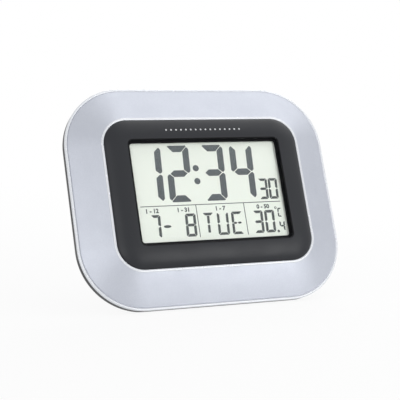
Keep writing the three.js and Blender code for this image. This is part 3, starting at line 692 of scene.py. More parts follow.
class Graph(Tree):
    """The nodes of one material, which read a piece's own place in the frame."""

    def __init__(self, name: str) -> None:
        """Starts a material with no nodes but its coordinates.

        Args:
            name: Name of the material.
        """
        self.material = bpy.data.materials.new(name)
        self.material.use_nodes = True
        super().__init__(self.material.node_tree)
        self.place = self.out("ShaderNodeTexCoord", {}, "Object")

    def stretched(self, scale: Place, turn: float = 0.0) -> Socket:
        """Coordinates stretched by scale, after a turn about the x axis."""
        inputs = {"Vector": self.place, "Scale": scale, "Rotation": (turn, 0.0, 0.0)}
        return self.out("ShaderNodeMapping", inputs)

    def noise(self, scale: float, detail: float = 2.0, place: Socket | None = None) -> Socket:
        """Soft noise: its features per metre, its finer layers and its coordinates."""
        inputs = {"Vector": place or self.place, "Scale": scale, "Detail": detail}
        return self.out("ShaderNodeTexNoise", inputs)

    def cells(self, scale: float) -> Socket:
        """A random value for each small cell, with so many cells per metre."""
        colour = self.out("ShaderNodeTexVoronoi", {"Vector": self.place, "Scale": scale}, "Color")
        return self.out("ShaderNodeSeparateColor", {"Color": colour})

    def spread(
        self, value: Socket, low: float, high: float, start: float = 0.3, end: float = 0.7
    ) -> Socket:
        """A value from start to end, brought to low to high."""
        inputs = {"Value": value, "From Min": start, "From Max": end, "To Min": low, "To Max": high}
        return self.out("ShaderNodeMapRange", inputs)

    def blend(self, share: Socket, first: int | Socket, second: int | Socket) -> Socket:
        """A mix of two colours, given as codes or sockets."""
        shades = [tone(shade) if isinstance(shade, int) else shade for shade in (first, second)]
        return self.out("ShaderNodeMix", {0: share, 6: shades[0], 7: shades[1]}, 2, data_type="RGBA")

    def bump(
        self, height: Socket, depth: float, strength: float, under: Socket | None = None
    ) -> Socket:
        """A normal from a relief, its depth in metres, its strength and a normal under it."""
        inputs = {"Height": height, "Distance": depth, "Strength": strength}
        return self.out("ShaderNodeBump", inputs | ({"Normal": under} if under else {}))

    def main(self, inputs: dict[str | int, object]) -> Socket:
        """The main shader, with its inputs by name."""
        return self.out("ShaderNodeBsdfPrincipled", inputs)

    def show(self, shader: Socket) -> None:
        """Makes a shader the material's surface."""
        self.add("ShaderNodeOutputMaterial", {"Surface": shader})


@dataclass(frozen=True)
class Finish:
    """A finish for one or more pieces."""

    name: str
    slot: str

    @cache
    def material(self) -> bpy.types.Material:
        """The finish's material, made the first time it is asked for.

        Returns:
            The material.
        """
        graph = Graph(self.name)
        graph.show(self.shader(graph))
        return graph.material

    def shader(self, graph: Graph) -> Socket:
        """Builds the shader from a material's nodes."""
        raise NotImplementedError


@dataclass(frozen=True)
class SilverPaint(Finish):
    """Satin paint with fine metal flakes over moulded plastic."""

    colour: int = 0xBCC0CA
    flake: int = 0xD6DAE2
    shade: int = 0xA6AAB6
    metallic: float = 0.55
    roughness: float = 0.36

    def shader(self, graph: Graph) -> Socket:
        """Builds the paint: flakes, faint clouding and orange peel.

        Args:
            graph: A material with no nodes yet.

        Returns:
            The shader.
        """
        flakes = graph.cells(5200.0)
        cloud = graph.spread(graph.noise(55.0, 3.0), 0.0, 0.16)
        base = graph.blend(graph.spread(flakes, 0.0, 0.5, 0.55, 1.0), self.colour, self.flake)
        low, high = self.roughness - 0.04, self.roughness + 0.05
        grain = graph.bump(flakes, 0.00002, 0.25)
        inputs = {
            "Base Color": graph.blend(cloud, base, self.shade),
            "Metallic": self.metallic,
            "Roughness": graph.spread(graph.noise(130.0, 4.0), low, high),
            "Normal": graph.bump(graph.noise(900.0, 1.0), 0.00004, 0.3, grain),
            "Coat Weight": 0.12,
            "Coat Roughness": 0.2,
        }
        return graph.main(inputs)


@dataclass(frozen=True)
class GrainedPlastic(Finish):
    """Moulded plastic with a spark-eroded grain and a little dust."""

    colour: int
    worn: int
    roughness: float
    grain: float = 2400.0
    depth: float = 0.00003
    specular: float = 0.4

    def shader(self, graph: Graph) -> Socket:
        """Builds the plastic: grain, rubbed patches and uneven gloss.

        Args:
            graph: A material with no nodes yet.

        Returns:
            The shader.
        """
        fine = graph.noise(self.grain, 3.0)
        patches = graph.noise(40.0, 5.0)
        colour = graph.blend(graph.spread(patches, 0.0, 0.22, 0.4, 0.8), self.colour, self.worn)
        inputs = {
            "Base Color": graph.blend(graph.spread(fine, 0.0, 0.12), colour, 0x000000),
            "Roughness": graph.spread(patches, self.roughness + 0.05, self.roughness - 0.06),
            "Normal": graph.bump(fine, self.depth, 0.6),
            "Specular IOR Level": self.specular,
        }
        return graph.main(inputs)


@dataclass(frozen=True)
class ClearPane(Finish):
    """A flat clear pane that lets the lamps through."""

    colour: int
    ior: float = 1.45
    smear: float = 0.006

    def shader(self, graph: Graph) -> Socket:
        """Builds the pane: clear, with faint smears in its polish.

        Args:
            graph: A material with no nodes yet.

        Returns:
            The shader.
        """
        inputs = {
            "Base Color": tone(self.colour),
            "Roughness": graph.spread(graph.noise(28.0, 6.0), 0.0, self.smear, 0.45, 0.8),
            "IOR": self.ior,
            "Transmission Weight": 1.0,
        }
        glass = graph.main(inputs)
        through = graph.out("ShaderNodeBsdfTransparent", {"Color": tone(self.colour)})
        return graph.mixed(graph.out("ShaderNodeLightPath", {}, "Is Shadow Ray"), glass, through)


@dataclass(frozen=True)
class SatinFilm(Finish):
    """The pale reflecting film behind the display's liquid crystal."""

    colour: int = 0xF0F4ED
    grain: int = 0xE4EAE1
    roughness: float = 0.45

    def shader(self, graph: Graph) -> Socket:
        """Builds the film: a fine pearly grain that is brushed sideways.

        Args:
            graph: A material with no nodes yet.

        Returns:
            The shader.
        """
        pearl = graph.noise(3000.0, 2.0, graph.stretched((0.25, 1.0, 1.0)))
        inputs = {
            "Base Color": graph.blend(graph.spread(pearl, 0.0, 0.35), self.colour, self.grain),
            "Roughness": graph.spread(pearl, self.roughness, self.roughness + 0.15),
            "Normal": graph.bump(pearl, 0.00001, 0.3),
            "Specular IOR Level": 0.3,
        }
        return graph.main(inputs)


@dataclass(frozen=True)
class DisplayInk(Finish):
    """A darkened figure of the display, a little paler towards its top."""

    upper: int
    lower: int
    mottle: int = 0x6A7276
    low_z: float = 0.045
    high_z: float = 0.118

    def shader(self, graph: Graph) -> Socket:
        """Builds the ink: it pales up the panel and has a faint mottle.

        Args:
            graph: A material with no nodes yet.

        Returns:
            The shader.
        """
        height = graph.out("ShaderNodeSeparateXYZ", {"Vector": graph.place}, "Z")
        share = graph.spread(height, 0.0, 1.0, self.low_z, self.high_z)
        cloud = graph.spread(graph.noise(1500.0), 0.0, 0.12)
        graded = graph.blend(share, self.lower, self.upper)
        inputs = {
            "Base Color": graph.blend(cloud, graded, self.mottle),
            "Roughness": graph.spread(cloud, 0.5, 0.6, 0.0, 0.12),
            "Specular IOR Level": 0.2,
        }
        return graph.main(inputs)


@dataclass(frozen=True)
class Metal(Finish):
    """Plated or drawn metal with fine scratches."""

    colour: int
    tarnish: int
    roughness: float

    def shader(self, graph: Graph) -> Socket:
        """Builds the metal: scratches one way and a breath of tarnish.

        Args:
            graph: A material with no nodes yet.

        Returns:
            The shader.
        """
        scratch = graph.noise(4200.0, 2.0, graph.stretched((1.0, 0.2, 1.0)))
        cloud = graph.spread(graph.noise(160.0, 4.0), 0.0, 0.4)
        inputs = {
            "Base Color": graph.blend(cloud, self.colour, self.tarnish),
            "Metallic": 1.0,
            "Roughness": graph.spread(scratch, self.roughness - 0.06, self.roughness + 0.1),
            "Normal": graph.bump(scratch, 0.00001, 0.4),
        }
        return graph.main(inputs)


@dataclass(frozen=True)
class Striped(Finish):
    """Flat conductors side by side, as in a ribbon or a contact strip."""

    first: int = 0xB9BBC0
    second: int = 0x8E9096
    pitch: float = 0.001
    roughness: float = 0.55
    waves_per_scale: float = 3.18

    def shader(self, graph: Graph) -> Socket:
        """Builds the stripes across x, with a soft grain.

        Args:
            graph: A material with no nodes yet.

        Returns:
            The shader.
        """
        scale = 1 / self.pitch / self.waves_per_scale
        inputs = {"Vector": graph.place, "Scale": scale, "Distortion": 0.0}
        stripes = graph.out("ShaderNodeTexWave", inputs, "Fac", bands_direction="X")
        share = graph.spread(stripes, 0.0, 1.0, 0.35, 0.65)
        low, high = self.roughness - 0.05, self.roughness + 0.08
        inputs = {
            "Base Color": graph.blend(share, self.first, self.second),
            "Roughness": graph.spread(graph.noise(2500.0), low, high),
            "Normal": graph.bump(share, 0.0001, 0.5),
        }
        return graph.main(inputs)


@dataclass(frozen=True)
class BoardLacquer(Finish):
    """Green solder mask over copper tracks."""

    mask: int = 0x1F5A33
    track: int = 0x37804A
    weave: int = 0x143D22

    def shader(self, graph: Graph) -> Socket:
        """Builds the mask: tracks as a maze of straight runs, and a weave below.

        Args:
            graph: A material with no nodes yet.

        Returns:
            The shader.
        """
        inputs = {
            "Vector": graph.stretched((1.0, 1.0, 1.0), -RIGHT_ANGLE),
            "Scale": 160.0,
            "Mortar Size": 0.05,
            "Brick Width": 1.6,
            "Row Height": 0.35,
        }
        share = graph.spread(graph.out("ShaderNodeTexBrick", inputs, "Fac"), 0.0, 0.85, 0.0, 1.0)
        cloth = graph.noise(1800.0, 1.0)
        base = graph.blend(share, self.mask, self.track)
        inputs = {
            "Base Color": graph.blend(graph.spread(cloth, 0.0, 0.15), base, self.weave),
            "Roughness": graph.spread(cloth, 0.32, 0.42),
            "Normal": graph.bump(share, 0.00004, 0.6),
            "Coat Weight": 0.3,
            "Coat Roughness": 0.15,
        }
        return graph.main(inputs)


@dataclass(frozen=True)
class Enamel(Finish):
    """Varnish, resin or paper with an uneven skin."""

    colour: int = 0x161617
    sheen: int = 0x2B2B2E
    roughness: float = 0.22
    metallic: float = 0.0

    def shader(self, graph: Graph) -> Socket:
        """Builds the skin: slow waves and small clouds.

        Args:
            graph: A material with no nodes yet.

        Returns:
            The shader.
        """
        waves = graph.noise(260.0, 2.0)
        inputs = {
            "Base Color": graph.blend(graph.spread(waves, 0.0, 1.0), self.colour, self.sheen),
            "Metallic": self.metallic,
            "Roughness": graph.spread(waves, self.roughness - 0.05, self.roughness + 0.1),
            "Normal": graph.bump(waves, 0.0002, 0.5),
        }
        return graph.main(inputs)


SILVER = SilverPaint("silver_paint", "silver")
# Glossier paint for the rim bead and the inner lip; its paler colour is a painted highlight along these
# edges.
RIM_HIGHLIGHT_PAINT = SilverPaint("trim_painted_highlight", "silver", 0xE6E9EE, 0xF4F6F9, 0xD6DAE1, 0.25, 0.24)
BEZEL = GrainedPlastic("bezel_plastic", "bezel", 0x23252A, 0x2E3036, 0.36, 2600.0, 0.00002, 0.33)
CASE = GrainedPlastic("case_plastic", "case", 0x2B2C2F, 0x3A3B3E, 0.52)
DOOR = GrainedPlastic("door_plastic", "case", 0x2D2E31, 0x3C3D40, 0.5)
LEG = GrainedPlastic("stand_plastic", "case", 0x2A2B2E, 0x3D3E41, 0.48)
KEY = GrainedPlastic("key_rubber", "key", 0x5C5E62, 0x6D6F73, 0.72, 1500.0, 0.00002, 0.3)
# Darker black for the window wall, painted shade of the deep well round the display; the printed mask
# on the lens uses it too.
WALL_SHADE_AND_MASK_BLACK = GrainedPlastic("window_shade_and_mask_black", "bezel", 0x101114, 0x1A1B1E, 0.6, 2600.0, 0.00002, 0.15)
MARK = GrainedPlastic("bezel_print", "bezel", 0xE4E6E8, 0xC9CBCE, 0.55, 3000.0, 0.00001, 0.3)
HOLDER = GrainedPlastic("holder_plastic", "holder", 0xDCDDD8, 0xC6C6BF, 0.5)
LENS = ClearPane("lens_acrylic", "lens", 0xFCFDFC)
GLASS = ClearPane("display_glass", "lcd_glass", 0xFEFFFE, 1.06)
FILM = SatinFilm("reflector_film", "reflector")
INK = DisplayInk("display_figures", "lcd_glass", 0x4B5357, 0x3A404B)
SMALL_INK = DisplayInk("display_small_figures", "lcd_glass", 0x31393A, 0x2F3738)
STEEL = Metal("screw_steel", "steel", 0xB4B6B9, 0x77787A, 0.3)
NICKEL = Metal("contact_nickel", "nickel", 0xD2D0C8, 0xA19C8E, 0.26)
COPPER = Enamel("coil_enamel", "copper", 0xA85A28, 0xC47538, 0.25, 0.85)
TAPE = Enamel("coil_paper", "copper", 0xC9B48A, 0xB59F75, 0.6)
FERRITE = Enamel("ferrite_grain", "ferrite", 0x2F2F32, 0x434346, 0.6)
RESIN = Enamel("chip_resin", "epoxy")
SLEEVE = Enamel("capacitor_sleeve", "epoxy", 0x1B2238, 0x2A3350, 0.3)
RIBBON = Striped("ribbon_cable", "ribbon")
ZEBRA = Striped("contact_strip", "zebra", 0x2E2E30, 0xB58A9A, 0.0004)
BOARD = BoardLacquer("board_mask", "board")
CELL_DARK = Enamel("cell_sleeve", "cell", 0x33373C, 0x3E4248, 0.3, 0.2)
CELL_BAND = Enamel("cell_band", "cell", 0xB7BCC2, 0xA3A9B0, 0.3, 0.7)


@dataclass(frozen=True)
class Bench:
    """Places finished meshes in the frame, dresses them and reports them."""

    panel: Panel

    def add(
        self,
        piece: Piece,
        finishes: Finish | list[Finish],
        body: str = "case",
        replaces: Sequence[str] = (),
    ) -> None:
        """Puts a piece in the frame.

        Args:
            piece: A mesh in the panel's axes, in mm.
            finishes: Its finish, or a list with one for each tint of its faces.
            body: The body that it rides on.
            replaces: The solids that it stands for.
        """
        listed = finishes if isinstance(finishes, list) else [finishes]
        piece.data.transform(self.panel.matrix)
        if len(listed) == 1:
            piece.data.materials.clear()
        for finish in listed:
            piece.data.materials.append(finish.material())
        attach(piece, body)
        if replaces:
            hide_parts(*replaces)
        log.info("%s rides on %s, %d faces", piece.name, body, len(piece.data.polygons))

    def dress(self, finish: Finish, *names: str) -> None:
        """Gives solids that stay as they are their finish.

        Args:
            finish: The finish.
            *names: Names of the solids.
        """
        for name in names:
            node = frame["nodes"][name]
            if not node.material_slots:
                node.data.materials.append(finish.material())
            for slot in node.material_slots:
                slot.material = finish.material()
            log.info("%s keeps its solid, in %s", name, finish.name)


# Sub-assemblies


@dataclass(frozen=True)
class Assembly:
    """A group of pieces, with the sizes and the bench that all groups share."""

    layout: Layout
    bench: Bench

    def build(self) -> None:
        """Makes the group's pieces and dresses its plain solids."""
        raise NotImplementedError


@dataclass(frozen=True)
class FrontFrame(Assembly):
    """The silver frame: a rounded rim, a fine groove, a broad slope and a lip."""

    rim_half: float = 1.05
    rim_round: float = 0.75
    rim_z: float = 13.25
    groove_floor: float = 13.8
    slope_inset: float = 2.5
    slope_low: float = 14.05
    slope_high: float = 22.25
    crown: float = 0.12
    slope_steps: int = 8
    lip_width: float = 2.1
    lip: Points = (
        (2.1, 22.36), (1.9, 22.62), (1.6, 22.8), (1.0, 22.85), (0.4, 22.78), (0.08, 22.55), (0.0, 22.2)
    )
    wall: float = 2.0
    flange_front: float = 19.5
    flange_back: float = 17.5
    boss: Point = (3.1, 1.7)
    boss_front: float = 17.6

    def levels(self) -> list[Level]:
        """The section of the frame, once round from its back edge.

        Returns:
            The outlines in order.
        """
        body, seam, flange = self.layout.body, self.layout.seam, self.layout.flange
        split, slope = self.layout.split_z, self.slope_inset
        section = [body.grown(-0.3, split), body.grown(0.0, split + 0.3)]
        for across, up in arc(0.0, 0.0, 1.0, 0, 180, 9):
            inset = self.rim_half * (1 - across)
            section.append(body.grown(-inset, self.rim_z + self.rim_round * up))
        section += [
            body.grown(-2 * self.rim_half - 0.03, self.groove_floor),
            body.grown(0.1 - slope, self.groove_floor),
            body.grown(0.06 - slope, self.slope_low - 0.1),
        ]
        low = body.grown(-slope, self.slope_low)
        high = seam.grown(self.lip_width + 0.06, self.slope_high)
        for step in range(self.slope_steps + 1):
            share = step / self.slope_steps
            z = self.slope_low + (self.slope_high - self.slope_low) * share
            section.append(low.towards(high, share, z + 4 * self.crown * share * (1 - share)))
        section += [seam.grown(extra, z) for extra, z in self.lip]
        return section + [
            seam.grown(0.0, self.flange_front),
            flange.grown(0.0, self.flange_front),
            flange.grown(0.0, self.flange_back),
            seam.grown(self.wall, self.flange_back),
            seam.grown(self.wall, self.flange_front + 0.6),
            body.grown(-slope - 0.6, self.slope_low - self.wall),
            body.grown(-self.wall, self.rim_z - 1.0),
            body.grown(-self.wall, split),
        ]

    def tint(self, low: Level, high: Level) -> int:
        """The finish of the step between two levels.

        Args:
            low: The level before it.
            high: The level after it.

        Returns:
            1 for the rim and lip, paler as a painted highlight, and 0 for the satin rest.
        """
        inset = (self.layout.body.width - high.width) / 2
        extra = (low.width - self.layout.seam.width) / 2
        on_rim = low.z >= self.layout.split_z and inset <= 2 * self.rim_half + TINY
        on_lip = extra <= self.lip_width and min(low.z, high.z) > self.flange_front
        return int(on_rim or on_lip)

    def build(self) -> None:
        """Makes the frame with the bosses that take the case screws."""
        levels = self.levels()
        tints = [self.tint(*pair) for pair in zip(levels, levels[1:] + levels[:1], strict=True)]
        shape = Shape().loft(levels, looped=True, corner=28, side=3, tints=tints)
        for place in self.layout.corners(self.layout.case_screw):
            shape.tube(self.boss, place, self.layout.split_z + 0.3, self.boss_front)
        # The rim and the lip take the paler paint, a painted highlight.
        self.bench.add(shape.build("frame_silver"), [SILVER, RIM_HIGHLIGHT_PAINT], replaces=["front_frame"])


@dataclass(frozen=True)
class InnerBezel(Assembly):
    """The dark pillow between the seam and the display window."""

    edge_gap: float = 0.3
    back_z: float = 19.8
    mouth: float = 1.8
    mouth_round: Points = ((1.5, 26.96), (1.22, 26.82), (1.0, 26.55), (0.9, 26.2))
    shell: float = 2.2
    steps: int = 16
    step_power: float = 1.9
    round_power: float = 2.2
    rise_power: float = 0.75
    ledge_front: float = 22.2
    ledge_back: float = 21.6
    ledge_width: float = 0.9
    window_wall: float = 1.8
    post: Point = (3.1, 1.7)
    post_front: float = 22.6
    ear_front: float = 25.0
    mark_count: int = 16
    mark_pitch: float = 4.26
    mark_x: float = 0.15
    mark_y: float = 50.6
    mark_radius: float = 0.72
    mark_relief: float = 0.12

    def rise(self, share: float) -> float:
        """Height of the pillow's surface at a share of the way in from the seam."""
        full = self.layout.bezel_front - self.layout.seam.z
        return self.layout.seam.z + full * (1 - (1 - share) ** self.round_power) ** self.rise_power

    def surface(self, share: float, lower: float = 0.0) -> Level:
        """The pillow's outline, or that of its hollow.

        Args:
            share: How far in from the seam, from 0 to 1.
            lower: How far under the surface.

        Returns:
            The outline.
        """
        outer = self.layout.seam.grown(-self.edge_gap, 0.0)
        inner = self.layout.window.grown(self.mouth, 0.0)
        return outer.towards(inner, share, self.rise(share) - lower)

    def levels(self) -> list[Level]:
        """The section of the bezel, once round from its back edge.

        Returns:
            The outlines in order.
        """
        seam, window = self.layout.seam, self.layout.window
        shares = [(step / self.steps) ** self.step_power for step in range(self.steps + 1)]
        under = [share for share in reversed(shares[::3]) if 0.05 < share < 0.9]
        wall = self.ledge_width + self.window_wall
        return [
            seam.grown(-self.edge_gap, self.back_z),
            *(self.surface(share) for share in shares),
            *(window.grown(extra, z) for extra, z in self.mouth_round),
            window.grown(self.ledge_width, self.ledge_front),
            window.grown(0.0, self.ledge_front),
            window.grown(0.0, self.ledge_back),
            window.grown(wall, self.ledge_back),
            window.grown(wall, self.layout.bezel_front - self.shell - 0.2),
            *(self.surface(share, self.shell) for share in under),
            seam.grown(-self.edge_gap - self.shell, self.back_z),
        ]

    def build(self) -> None:
        """Makes the bezel, its screw posts and its row of printed dots."""
        size, levels = self.layout, self.levels()
        # Levels inside the window mouth take the darker black: painted shade on the wall down to the
        # display.
        inside = size.window.width + 2 * self.mouth + 0.1
        tints = [int(level.width < inside) for level in levels]
        shape = Shape().loft(levels, looped=True, corner=20, side=3, tints=tints)
        for place in size.corners(size.bezel_screw, size.seam.centre_y):
            shape.tube(self.post, place, self.back_z, self.post_front)
        for place in size.ears(size.ear_rows):
            shape.tube(self.post, place, self.ledge_back, self.ear_front)
        self.bench.add(shape.build("bezel_pillow"), [BEZEL, WALL_SHADE_AND_MASK_BLACK], replaces=["inner_bezel"])
        self.bench.add(self.marks(), MARK)

    def marks(self) -> Piece:
        """A row of plain round dots printed along the top of the bezel.

        Returns:
            The piece.
        """
        seam, window = self.layout.seam, self.layout.window
        outer = seam.centre_y + seam.height / 2 - self.edge_gap
        run = outer - (window.centre_y + window.height / 2 + self.mouth)
        share = (outer - self.mark_y) / run
        slope = (self.rise(share + 0.01) - self.rise(share - 0.01)) / 0.02 / run
        recipe = Recipe("dot_row")
        sizes = {"Dot radius": self.mark_radius, "Relief": self.mark_relief}
        sizes |= {"Count": self.mark_count, "Pitch": self.mark_pitch}
        radius, relief, count, pitch = recipe.sizes(sizes)
        dot, tilt = recipe.rod(20, radius, relief), recipe.vector(-math.atan(slope))
        dots = recipe.row(dot, count, pitch, tilt)
        placed = recipe.shifted(dots, (self.mark_x, self.mark_y, self.rise(share)))
        return recipe.bake("bezel_dots", placed, MARK)


class Bar(Enum):
    """The bars that make up a figure of the display."""

    TOP = "top"
    UPPER_RIGHT = "upper right"
    LOWER_RIGHT = "lower right"
    BOTTOM = "bottom"
    LOWER_LEFT = "lower left"
    UPPER_LEFT = "upper left"
    MIDDLE = "middle"
    UPPER_STEM = "upper stem"
    LOWER_STEM = "lower stem"
    DASHES = "dashes"


LEFT = (Bar.UPPER_LEFT, Bar.LOWER_LEFT)
RIGHT = (Bar.UPPER_RIGHT, Bar.LOWER_RIGHT)
FIGURES = {
    "0": (Bar.TOP, Bar.BOTTOM, *LEFT, *RIGHT),
    "1": RIGHT,
    "2": (Bar.TOP, Bar.UPPER_RIGHT, Bar.MIDDLE, Bar.LOWER_LEFT, Bar.BOTTOM),
    "3": (Bar.TOP, Bar.MIDDLE, Bar.BOTTOM, *RIGHT),
    "4": (Bar.UPPER_LEFT, Bar.MIDDLE, *RIGHT),
    "7": (Bar.TOP, *RIGHT),
    "8": (Bar.TOP, Bar.MIDDLE, Bar.BOTTOM, *LEFT, *RIGHT),
    "C": (Bar.TOP, Bar.BOTTOM, *LEFT),
    "T": (Bar.TOP, Bar.UPPER_STEM, Bar.LOWER_STEM),
    "U": (Bar.BOTTOM, *LEFT, *RIGHT),
    "E": (Bar.TOP, Bar.DASHES, Bar.BOTTOM, *LEFT),
}


@dataclass(frozen=True)
class Figure:
    """One figure of the display: what it shows, where and how large, in mm."""

    sign: str
    left: float
    bottom: float
    width: float
    height: float
    stroke: float
    gap: float = 0.16
    slant: float = math.tan(math.radians(2.5))

    def over(self, points: list[Point]) -> list[Point]:
        """A bar on the other side."""
        return [(self.width - x, y) for x, y in reversed(points)]

    def down(self, points: list[Point]) -> list[Point]:
        """A bar in the other half."""
        return [(x, self.height - y) for x, y in reversed(points)]

    def lens(self, left: float, right: float, half: float) -> list[Point]:
        """A flat bar at mid height with pointed ends.

        Args:
            left: Its left point.
            right: Its right point.
            half: Half its thickness.

        Returns:
            Its outline.
        """
        middle, slope = self.height / 2, 1.16 * half
        below = [(left, middle), (left + slope, middle - half), (right - slope, middle - half)]
        return below + [(right, middle), (right - slope, middle + half), (left + slope, middle + half)]

    def bars(self) -> dict[Bar, list[list[Point]]]:
        """All bars, from the figure's lower left corner.

        Returns:
            The outlines of each bar.
        """
        w, h, t, g = self.width, self.height, self.stroke, self.gap
        m, c = h / 2, w / 2
        right = [(w, h - 0.65 * t), (w - 0.12 * t, h - 0.42 * t), (w - 0.4 * t + g, h - 0.26 * t)]
        right += [(w - t, h - 0.86 * t - g), (w - t, m + 0.57 * t), (w - 0.42 * t, m + 0.1 * t)]
        right += [(w - 0.22 * t, m + 0.1 * t), (w, m + 0.38 * t)]
        half_top = [(w - 1.14 * t - g, h - t), (w - 0.29 * t - g, h - 0.15 * t), (w - 0.42 * t - g, h)]
        stem = [(c - t / 2, h - 1.1 * t - g), (c - t / 2, m + 0.45 * t), (c, m + 0.1 * t)]
        stem += [(c + t / 2, m + 0.45 * t), (c + t / 2, h - 1.1 * t - g)]
        top = half_top + self.over(half_top)
        thin = 0.38 * t
        return {
            Bar.TOP: [top],
            Bar.BOTTOM: [self.down(top)],
            Bar.UPPER_LEFT: [self.over(right)],
            Bar.LOWER_LEFT: [self.down(self.over(right))],
            Bar.UPPER_RIGHT: [right],
            Bar.LOWER_RIGHT: [self.down(right)],
            Bar.MIDDLE: [self.lens(0.5 * t, w - 0.5 * t, t / 2)],
            Bar.UPPER_STEM: [stem],
            Bar.LOWER_STEM: [self.down(stem)],
            Bar.DASHES: [
                self.lens(0.55 * t, c - 0.1 * t, thin), self.lens(c + 0.1 * t, w - 0.55 * t, thin)
            ],
        }

    def outlines(self) -> list[list[Point]]:
        """The bars that are on, slanted and in place.

        Returns:
            Their outlines.
        """
        bars = self.bars()
        return [
            [(self.left + x + y * self.slant, self.bottom + y) for x, y in outline]
            for bar in FIGURES[self.sign]
            for outline in bars[bar]
        ]


@dataclass(frozen=True)
class Display(Assembly):
    """The liquid crystal display with its lens, panes, film and figures."""

    low: float = 21.38
    high: float = 21.44
    figure_shift: Place = (-0.75, -0.46, 0.0)
    rule_half: float = 0.3
    rule_y: float = -9.9
    rule_foot: float = -36.3
    rule_ends: Point = (-59.7, 61.6)
    rule_posts: Point = (-13.2, 28.5)
    legend_y: float = -15.2
    legend_size: float = 4.7
    legend_weight: float = 0.2
    legends: tuple[tuple[str, float], ...] = (
        ("1 - 12", -50.7), ("1 - 31", -24.3), ("1 - 7", 7.3), ("0 - 50", 45.2)
    )
    time_right: tuple[tuple[str, float], ...] = (("1", -36.45), ("2", -12.4), ("3", 17.6), ("4", 43.4))
    time_foot: float = -7.2
    time_size: Point = (20.0, 46.6)
    time_stroke: Point = (5.4, 0.35)
    colon: tuple[tuple[float, ...], ...] = ((-8.4, 20.2, 2.6, 1.0), (-8.7, 9.4, 2.6, 1.0))
    small: tuple[Figure, ...] = (
        Figure("3", 43.8, -7.6, 8.2, 17.4, 2.1),
        Figure("0", 52.8, -7.6, 8.2, 17.4, 2.1),
        Figure("7", -53.3, -35.5, 8.1, 18.6, 2.2),
        Figure("8", -24.5, -35.5, 9.0, 18.6, 2.2),
        Figure("T", -9.7, -35.5, 9.8, 18.6, 2.1),
        Figure("U", 2.8, -35.5, 9.8, 18.6, 2.1),
        Figure("E", 15.3, -35.5, 9.8, 18.6, 2.1),
        Figure("3", 34.5, -35.5, 8.8, 18.6, 2.2),
        Figure("0", 44.8, -35.5, 8.8, 18.6, 2.2),
        Figure("4", 57.4, -34.7, 4.8, 8.3, 1.35, 0.08),
        Figure("C", 57.5, -22.9, 3.7, 7.4, 1.15, 0.08),
    )
    small_dots: tuple[tuple[float, ...], ...] = ((-39.5, -26.5, 3.15, 0.36), (55.9, -34.8, 1.05, 1.0))
    degree: tuple[float, ...] = (56.3, -15.2, 0.55, 1.05)
    film_low: Place = (-65.2, -42.0, 21.32)
    film_high: Place = (65.2, 42.8, 21.37)
    mask_z: Point = (23.52, 23.62)
    mask: Level = Level(126.35, 80.25, 2.2, 0.48)
    mask_x: float = -0.05
    mask_reach: float = 0.86
    lens_reach: float = 0.6
    lens_back: float = 22.5
    lens_edge: float = 0.12

    def build(self) -> None:
        """Makes the lens and the figures and dresses the panes."""
        window, front = self.layout.window, self.layout.lens_front
        back, edge, reach = self.lens_back, self.lens_edge, self.lens_reach
        section = [(reach - edge, back), (reach, back + edge)]
        section += [(reach, front - edge), (reach - edge, front)]
        shape = Shape().loft([window.grown(*pair) for pair in section], corner=8, side=1)
        self.bench.add(shape.build("lens_pane", 20.0), LENS, replaces=["window_lens"])
        self.bench.dress(GLASS, "lcd_front_glass", "lcd_rear_glass")
        self.bench.dress(FILM, "lcd_reflector")
        self.bench.dress(HOLDER, "lcd_holder")
        self.bench.dress(ZEBRA, "zebra_strip")
        self.bench.add(Shape().block(self.film_low, self.film_high).build("display_film"), FILM)
        self.bench.add(self.border(), WALL_SHADE_AND_MASK_BLACK)
        pieces = (self.time(), self.date(), self.rules(), self.words())
        for piece, ink in zip(pieces, (INK, SMALL_INK, SMALL_INK, SMALL_INK), strict=True):
            piece.data.transform(Matrix.Translation(self.figure_shift))
            self.bench.add(piece, ink)

    def border(self) -> Piece:
        """The black frame that is printed on the lens, round the display.

        Returns:
            The piece.
        """
        rings, shift = [], Vector((self.mask_x, 0, 0))
        for z in self.mask_z:
            inner = [point + shift for point in replace(self.mask, z=z).ring(8, 2)]
            rings += [inner, self.layout.window.grown(self.mask_reach, z).ring(8, 2)]
        rings[2:] = reversed(rings[2:])
        return Shape().skin(rings, looped=True).build("display_mask")

    def printed(self, figures: Iterable[Figure], dots: Iterable[Sequence[float]]) -> Shape:
        """Figures and dots in ink.

        Args:
            figures: The figures.
            dots: Middle, half width and height over width of each round or oval dot.

        Returns:
            The shape.
        """
        shape = Shape()
        for figure in figures:
            for outline in figure.outlines():
                shape.prism(outline, self.low, self.high)
        for x, y, radius, tall in dots:
            outline = [(x + a, y + tall * b) for a, b in circle(radius, 28)]
            shape.prism(outline, self.low, self.high)
        return shape

    def time(self) -> Piece:
        """The large figures of the time and the two dots between them.

        Returns:
            The piece.
        """
        width, height = self.time_size
        foot = height * Figure.slant + width
        size = (self.time_foot, width, height, *self.time_stroke)
        figures = [Figure(sign, right - foot, *size) for sign, right in self.time_right]
        return self.printed(figures, self.colon).build("display_time")

    def date(self) -> Piece:
        """The seconds, the date, the weekday and the temperature.

        Returns:
            The piece.
        """
        x, y, inner, outer = self.degree
        ring = [(inner, self.low), (outer, self.low), (outer, self.high), (inner, self.high)]
        shape = self.printed(self.small, self.small_dots)
        return shape.lathe(ring, (x, y, 0), steps=20, looped=True).build("display_date")

    def rules(self) -> Piece:
        """The thin lines between the fields.

        Returns:
            The piece.
        """
        half, (left, right) = self.rule_half, self.rule_ends
        low, high = self.rule_y - half, self.rule_y + half
        shape = Shape().block((left, low, self.low), (right, high, self.high))
        for x in self.rule_posts:
            shape.block((x - half, self.rule_foot, self.low), (x + half, low, self.high))
        return shape.build("display_rules")

